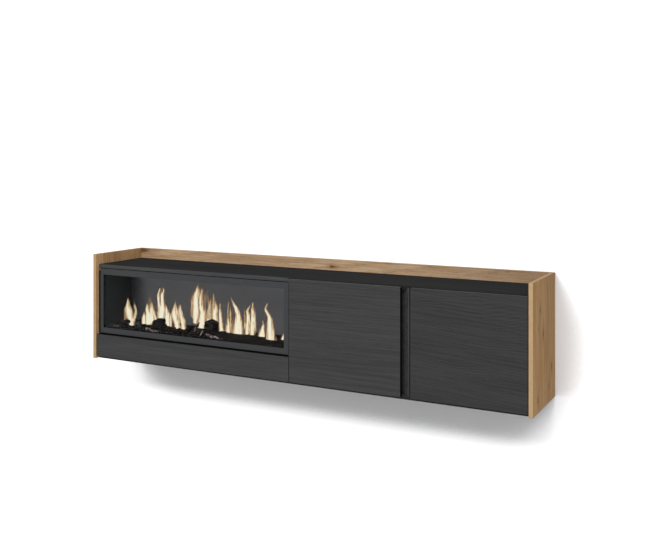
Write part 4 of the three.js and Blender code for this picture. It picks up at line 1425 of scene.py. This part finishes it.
def add_shelf_fittings():
    """Pins under both shelves, and the row of sleeves that lets a shelf sit higher or lower."""
    pins = []
    sleeves = []
    walls = {
        "shelf_centre": (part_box("partition_left")[1].x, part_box("partition_right")[0].x),
        "shelf_right": (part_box("partition_right")[1].x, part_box("side_panel_right")[0].x),
    }
    for shelf, (left, right) in walls.items():
        low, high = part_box(shelf)
        for y in (low.y + PIN_INSET, high.y - PIN_INSET):
            for x, outward in ((left, EAST), (right, -EAST)):
                place = Vector((x, y, low.z - SHELF_PIN[0]))
                pins.append((place, outward))
                sleeves += [(place + UP * PIN_PITCH * step, outward) for step in PIN_STEPS]
    add_fitting("shelf_pins", "cabinet", "zinc", SHELF_PIN, pins, ROD)
    add_fitting("shelf_pin_sleeves", "cabinet", "black_plastic", PIN_SLEEVE, sleeves, SLEEVE)


def add_bumpers():
    """Soft bumpers on the backs of the doors, where they meet the top and bottom boards."""
    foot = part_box("bottom_board")[1].z
    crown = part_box("top_board")[0].z
    for door, body, share in BUMPER_SPOTS:
        low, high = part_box(door)
        x = low.x + (high.x - low.x) * share
        size = ((foot - low.z) * BUMPER_SHARE, BUMPER_HEIGHT)
        levels = ((foot + low.z) / 2, (crown + high.z) / 2)
        spots = [(Vector((x, high.y, z)), BACK) for z in levels]
        add_fitting(f"bumpers_{door}", body, "white_plastic", size, spots)


def add_drawer_fittings():
    """Screws that hold the drawer's front, seen from inside the drawer."""
    low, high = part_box("drawer_bottom")
    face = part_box("drawer_front")[1].y
    middle = (high.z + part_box("drawer_back")[1].z) / 2
    places = [low.x + (high.x - low.x) * share for share in DRAWER_SCREW_SHARES]
    spots = [(Vector((x, face, middle)), BACK) for x in places]
    add_screws("drawer_front_screws", "drawer", DRAWER_SCREW, spots)


def add_fire_fittings():
    """Lamps on the strip, screws of the casing and of the latches, and the inlet's pins."""
    low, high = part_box("lamp_strip")
    count = round((high.x - low.x) / LAMP_PITCH)
    middle = (low + high) / 2
    places = [low.x + (high.x - low.x) * (i + 0.5) / count for i in range(count)]
    lamps = [(Vector((x, middle.y, high.z)), UP) for x in places]
    add_fitting("lamp_chips", "cabinet", "white_plastic", LAMP_CHIP, lamps)

    low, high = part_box("insert_back")
    spots = []
    for share in CASING_SCREW_SHARES:
        for z in (low.z + CASING_SCREW_FOOT, high.z - CASING_SCREW_DROP):
            spots.append((Vector((low.x + (high.x - low.x) * share, high.y, z)), BACK))
    add_screws("casing_screws", "cabinet", CASING_SCREW, spots)

    low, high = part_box("power_inlet")
    middle = (low + high) / 2
    spots = []
    for side, rise in INLET_PINS:
        spots.append((Vector((middle.x + side, high.y - INLET_DEPTH, middle.z + rise)), BACK))
    add_fitting("inlet_pins", "cabinet", "zinc", INLET_PIN, spots, ROD)

    spots = []
    low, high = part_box("latch_housing_door")
    for y in (low.y + LATCH_SCREW_INSET, high.y - LATCH_SCREW_INSET):
        spots.append((Vector((high.x, y, (low.z + high.z) / 2)), EAST))
    low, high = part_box("latch_housing_drawer")
    for y in (low.y + LATCH_SCREW_INSET, high.y - LATCH_SCREW_INSET):
        spots.append((Vector(((low.x + high.x) / 2, y, low.z)), -UP))
    add_screws("latch_screws", "cabinet", LATCH_SCREW, spots)


# Stage: white wall and floor that keep the cabinet's shadow, and soft studio light

FLOOR_DROP = 0.42
WALL_GAP = 0.0008
STAGE_HALF = 7.0
STAGE_COLOURS = ((0.785, 0.785, 0.79, 1), (0.8, 0.8, 0.805, 1))
AMBIENT = 0.5
WHITE = (1, 1, 1, 1)
# How much the camera's view of the floor and the wall is lifted, from where an open share of the
# space towards the lamp is free up to this reach
FLOOR_LIFT = 0.65
WALL_LIFT = 0.46
LIFT_OPEN = (0.6, 0.82)
SHADE_REACH = 0.36
# Unit direction from the cabinet to the lamp
LAMP_WAY = (0.0, -0.86, 0.51)
SOFTBOX_PLACE = Vector((1.4, -7.66, 4.4))
SOFTBOX_AIM = Vector((0.0, 0.0, -0.2))
SOFTBOX_WIDTH = 8.0
SOFTBOX_HEIGHT = 1.0
SOFTBOX_POWER = 543.0


def seen_share(tree):
    """1 for rays from the camera, also by way of a gloss or a glass, and 0 for other light."""
    path = tree.add("ShaderNodeLightPath").outputs
    seen = tree.math("MAXIMUM", path["Is Camera Ray"], path["Is Glossy Ray"])
    return tree.math("MAXIMUM", seen, path["Is Transmission Ray"])


def stage_material(name, white_lift):
    """White stage whose camera view is lifted to white, but not close to the cabinet, where its
    shadow is kept. It is clear from behind."""
    material = bpy.data.materials.new(name)
    material.use_nodes = True
    tree = Tree(material.node_tree)
    material.node_tree.nodes.clear()

    def either(share, first, second):
        node = tree.add("ShaderNodeMixShader")
        for socket, value in zip(node.inputs, (share, first, second)):
            tree.plug(socket, value)
        return node.outputs[0]

    colour = tree.mix(tree.noise(own_place(tree), 3.0, 2.0, 0.5), *STAGE_COLOURS)
    diffuse = tree.add("ShaderNodeBsdfDiffuse", Color=colour).outputs[0]
    lamp_way = tree.join(*LAMP_WAY)
    occlusion = tree.add("ShaderNodeAmbientOcclusion", Distance=SHADE_REACH, Normal=lamp_way)
    strength = tree.ramp(occlusion.outputs["AO"], *LIFT_OPEN, 0.0, white_lift)
    lift = tree.add("ShaderNodeEmission", Color=WHITE, Strength=strength)
    both = tree.add("ShaderNodeAddShader")
    tree.plug(both.inputs[0], diffuse)
    tree.plug(both.inputs[1], lift.outputs[0])
    shown = either(seen_share(tree), diffuse, both.outputs[0])
    behind = tree.add("ShaderNodeNewGeometry").outputs["Backfacing"]
    window = either(behind, shown, tree.add("ShaderNodeBsdfTransparent").outputs[0])
    tree.plug(tree.add("ShaderNodeOutputMaterial").inputs[0], window)
    return material


def add_plane(name, low, high, material):
    """A level or an upright plane between two opposite corners."""
    corners = [low, (high[0], low[1], low[2]), high, (low[0], high[1], high[2])]
    mesh = bpy.data.meshes.new(name)
    mesh.from_pydata(corners, [], [range(len(corners))])
    mesh.materials.append(material)
    plane = bpy.data.objects.new(name, mesh)
    bpy.context.scene.collection.objects.link(plane)
    plane.visible_shadow = False
    return plane


def add_stage():
    floor = cad_box[0].z - FLOOR_DROP
    half = STAGE_HALF
    white = stage_material("floor_white", FLOOR_LIFT)
    add_plane("studio_floor", (-half, -half, floor), (half, half, floor), white)
    white = stage_material("wall_white", WALL_LIFT)
    wall = add_plane("studio_wall", (-half, WALL_GAP, floor), (half, WALL_GAP, floor + half), white)
    wall.visible_diffuse = False
    wall.visible_glossy = False
    wall.visible_transmission = False


def add_world():
    world = bpy.data.worlds.new("studio_world")
    bpy.context.scene.world = world
    world.use_nodes = True
    tree = Tree(world.node_tree)
    background = world.node_tree.nodes["Background"]
    background.inputs["Color"].default_value = WHITE
    tree.plug(background.inputs["Strength"], tree.ramp(seen_share(tree), 0.0, 1.0, AMBIENT, 1.0))


def add_softbox():
    data = bpy.data.lights.new("front_softbox", "AREA")
    data.shape = "RECTANGLE"
    data.size = SOFTBOX_WIDTH
    data.size_y = SOFTBOX_HEIGHT
    data.energy = SOFTBOX_POWER
    lamp = bpy.data.objects.new("front_softbox", data)
    lamp.location = SOFTBOX_PLACE
    lamp.rotation_euler = (SOFTBOX_AIM - SOFTBOX_PLACE).to_track_quat("-Z", "Y").to_euler()
    bpy.context.scene.collection.objects.link(lamp)


bpy.context.scene.view_settings.view_transform = "Standard"
dress_cad()
for number, name in enumerate(("log_left", "log_right")):
    add_log(name, number)
add_coals()
add_sticks()
add_crumbs()
hinge_fittings("centre", "centre_door", 1)
hinge_fittings("right", "right_door", -1)
add_shelf_fittings()
add_bumpers()
add_drawer_fittings()
add_fire_fittings()
add_flames()
soften_edges()
add_stage()
add_world()
add_softbox()
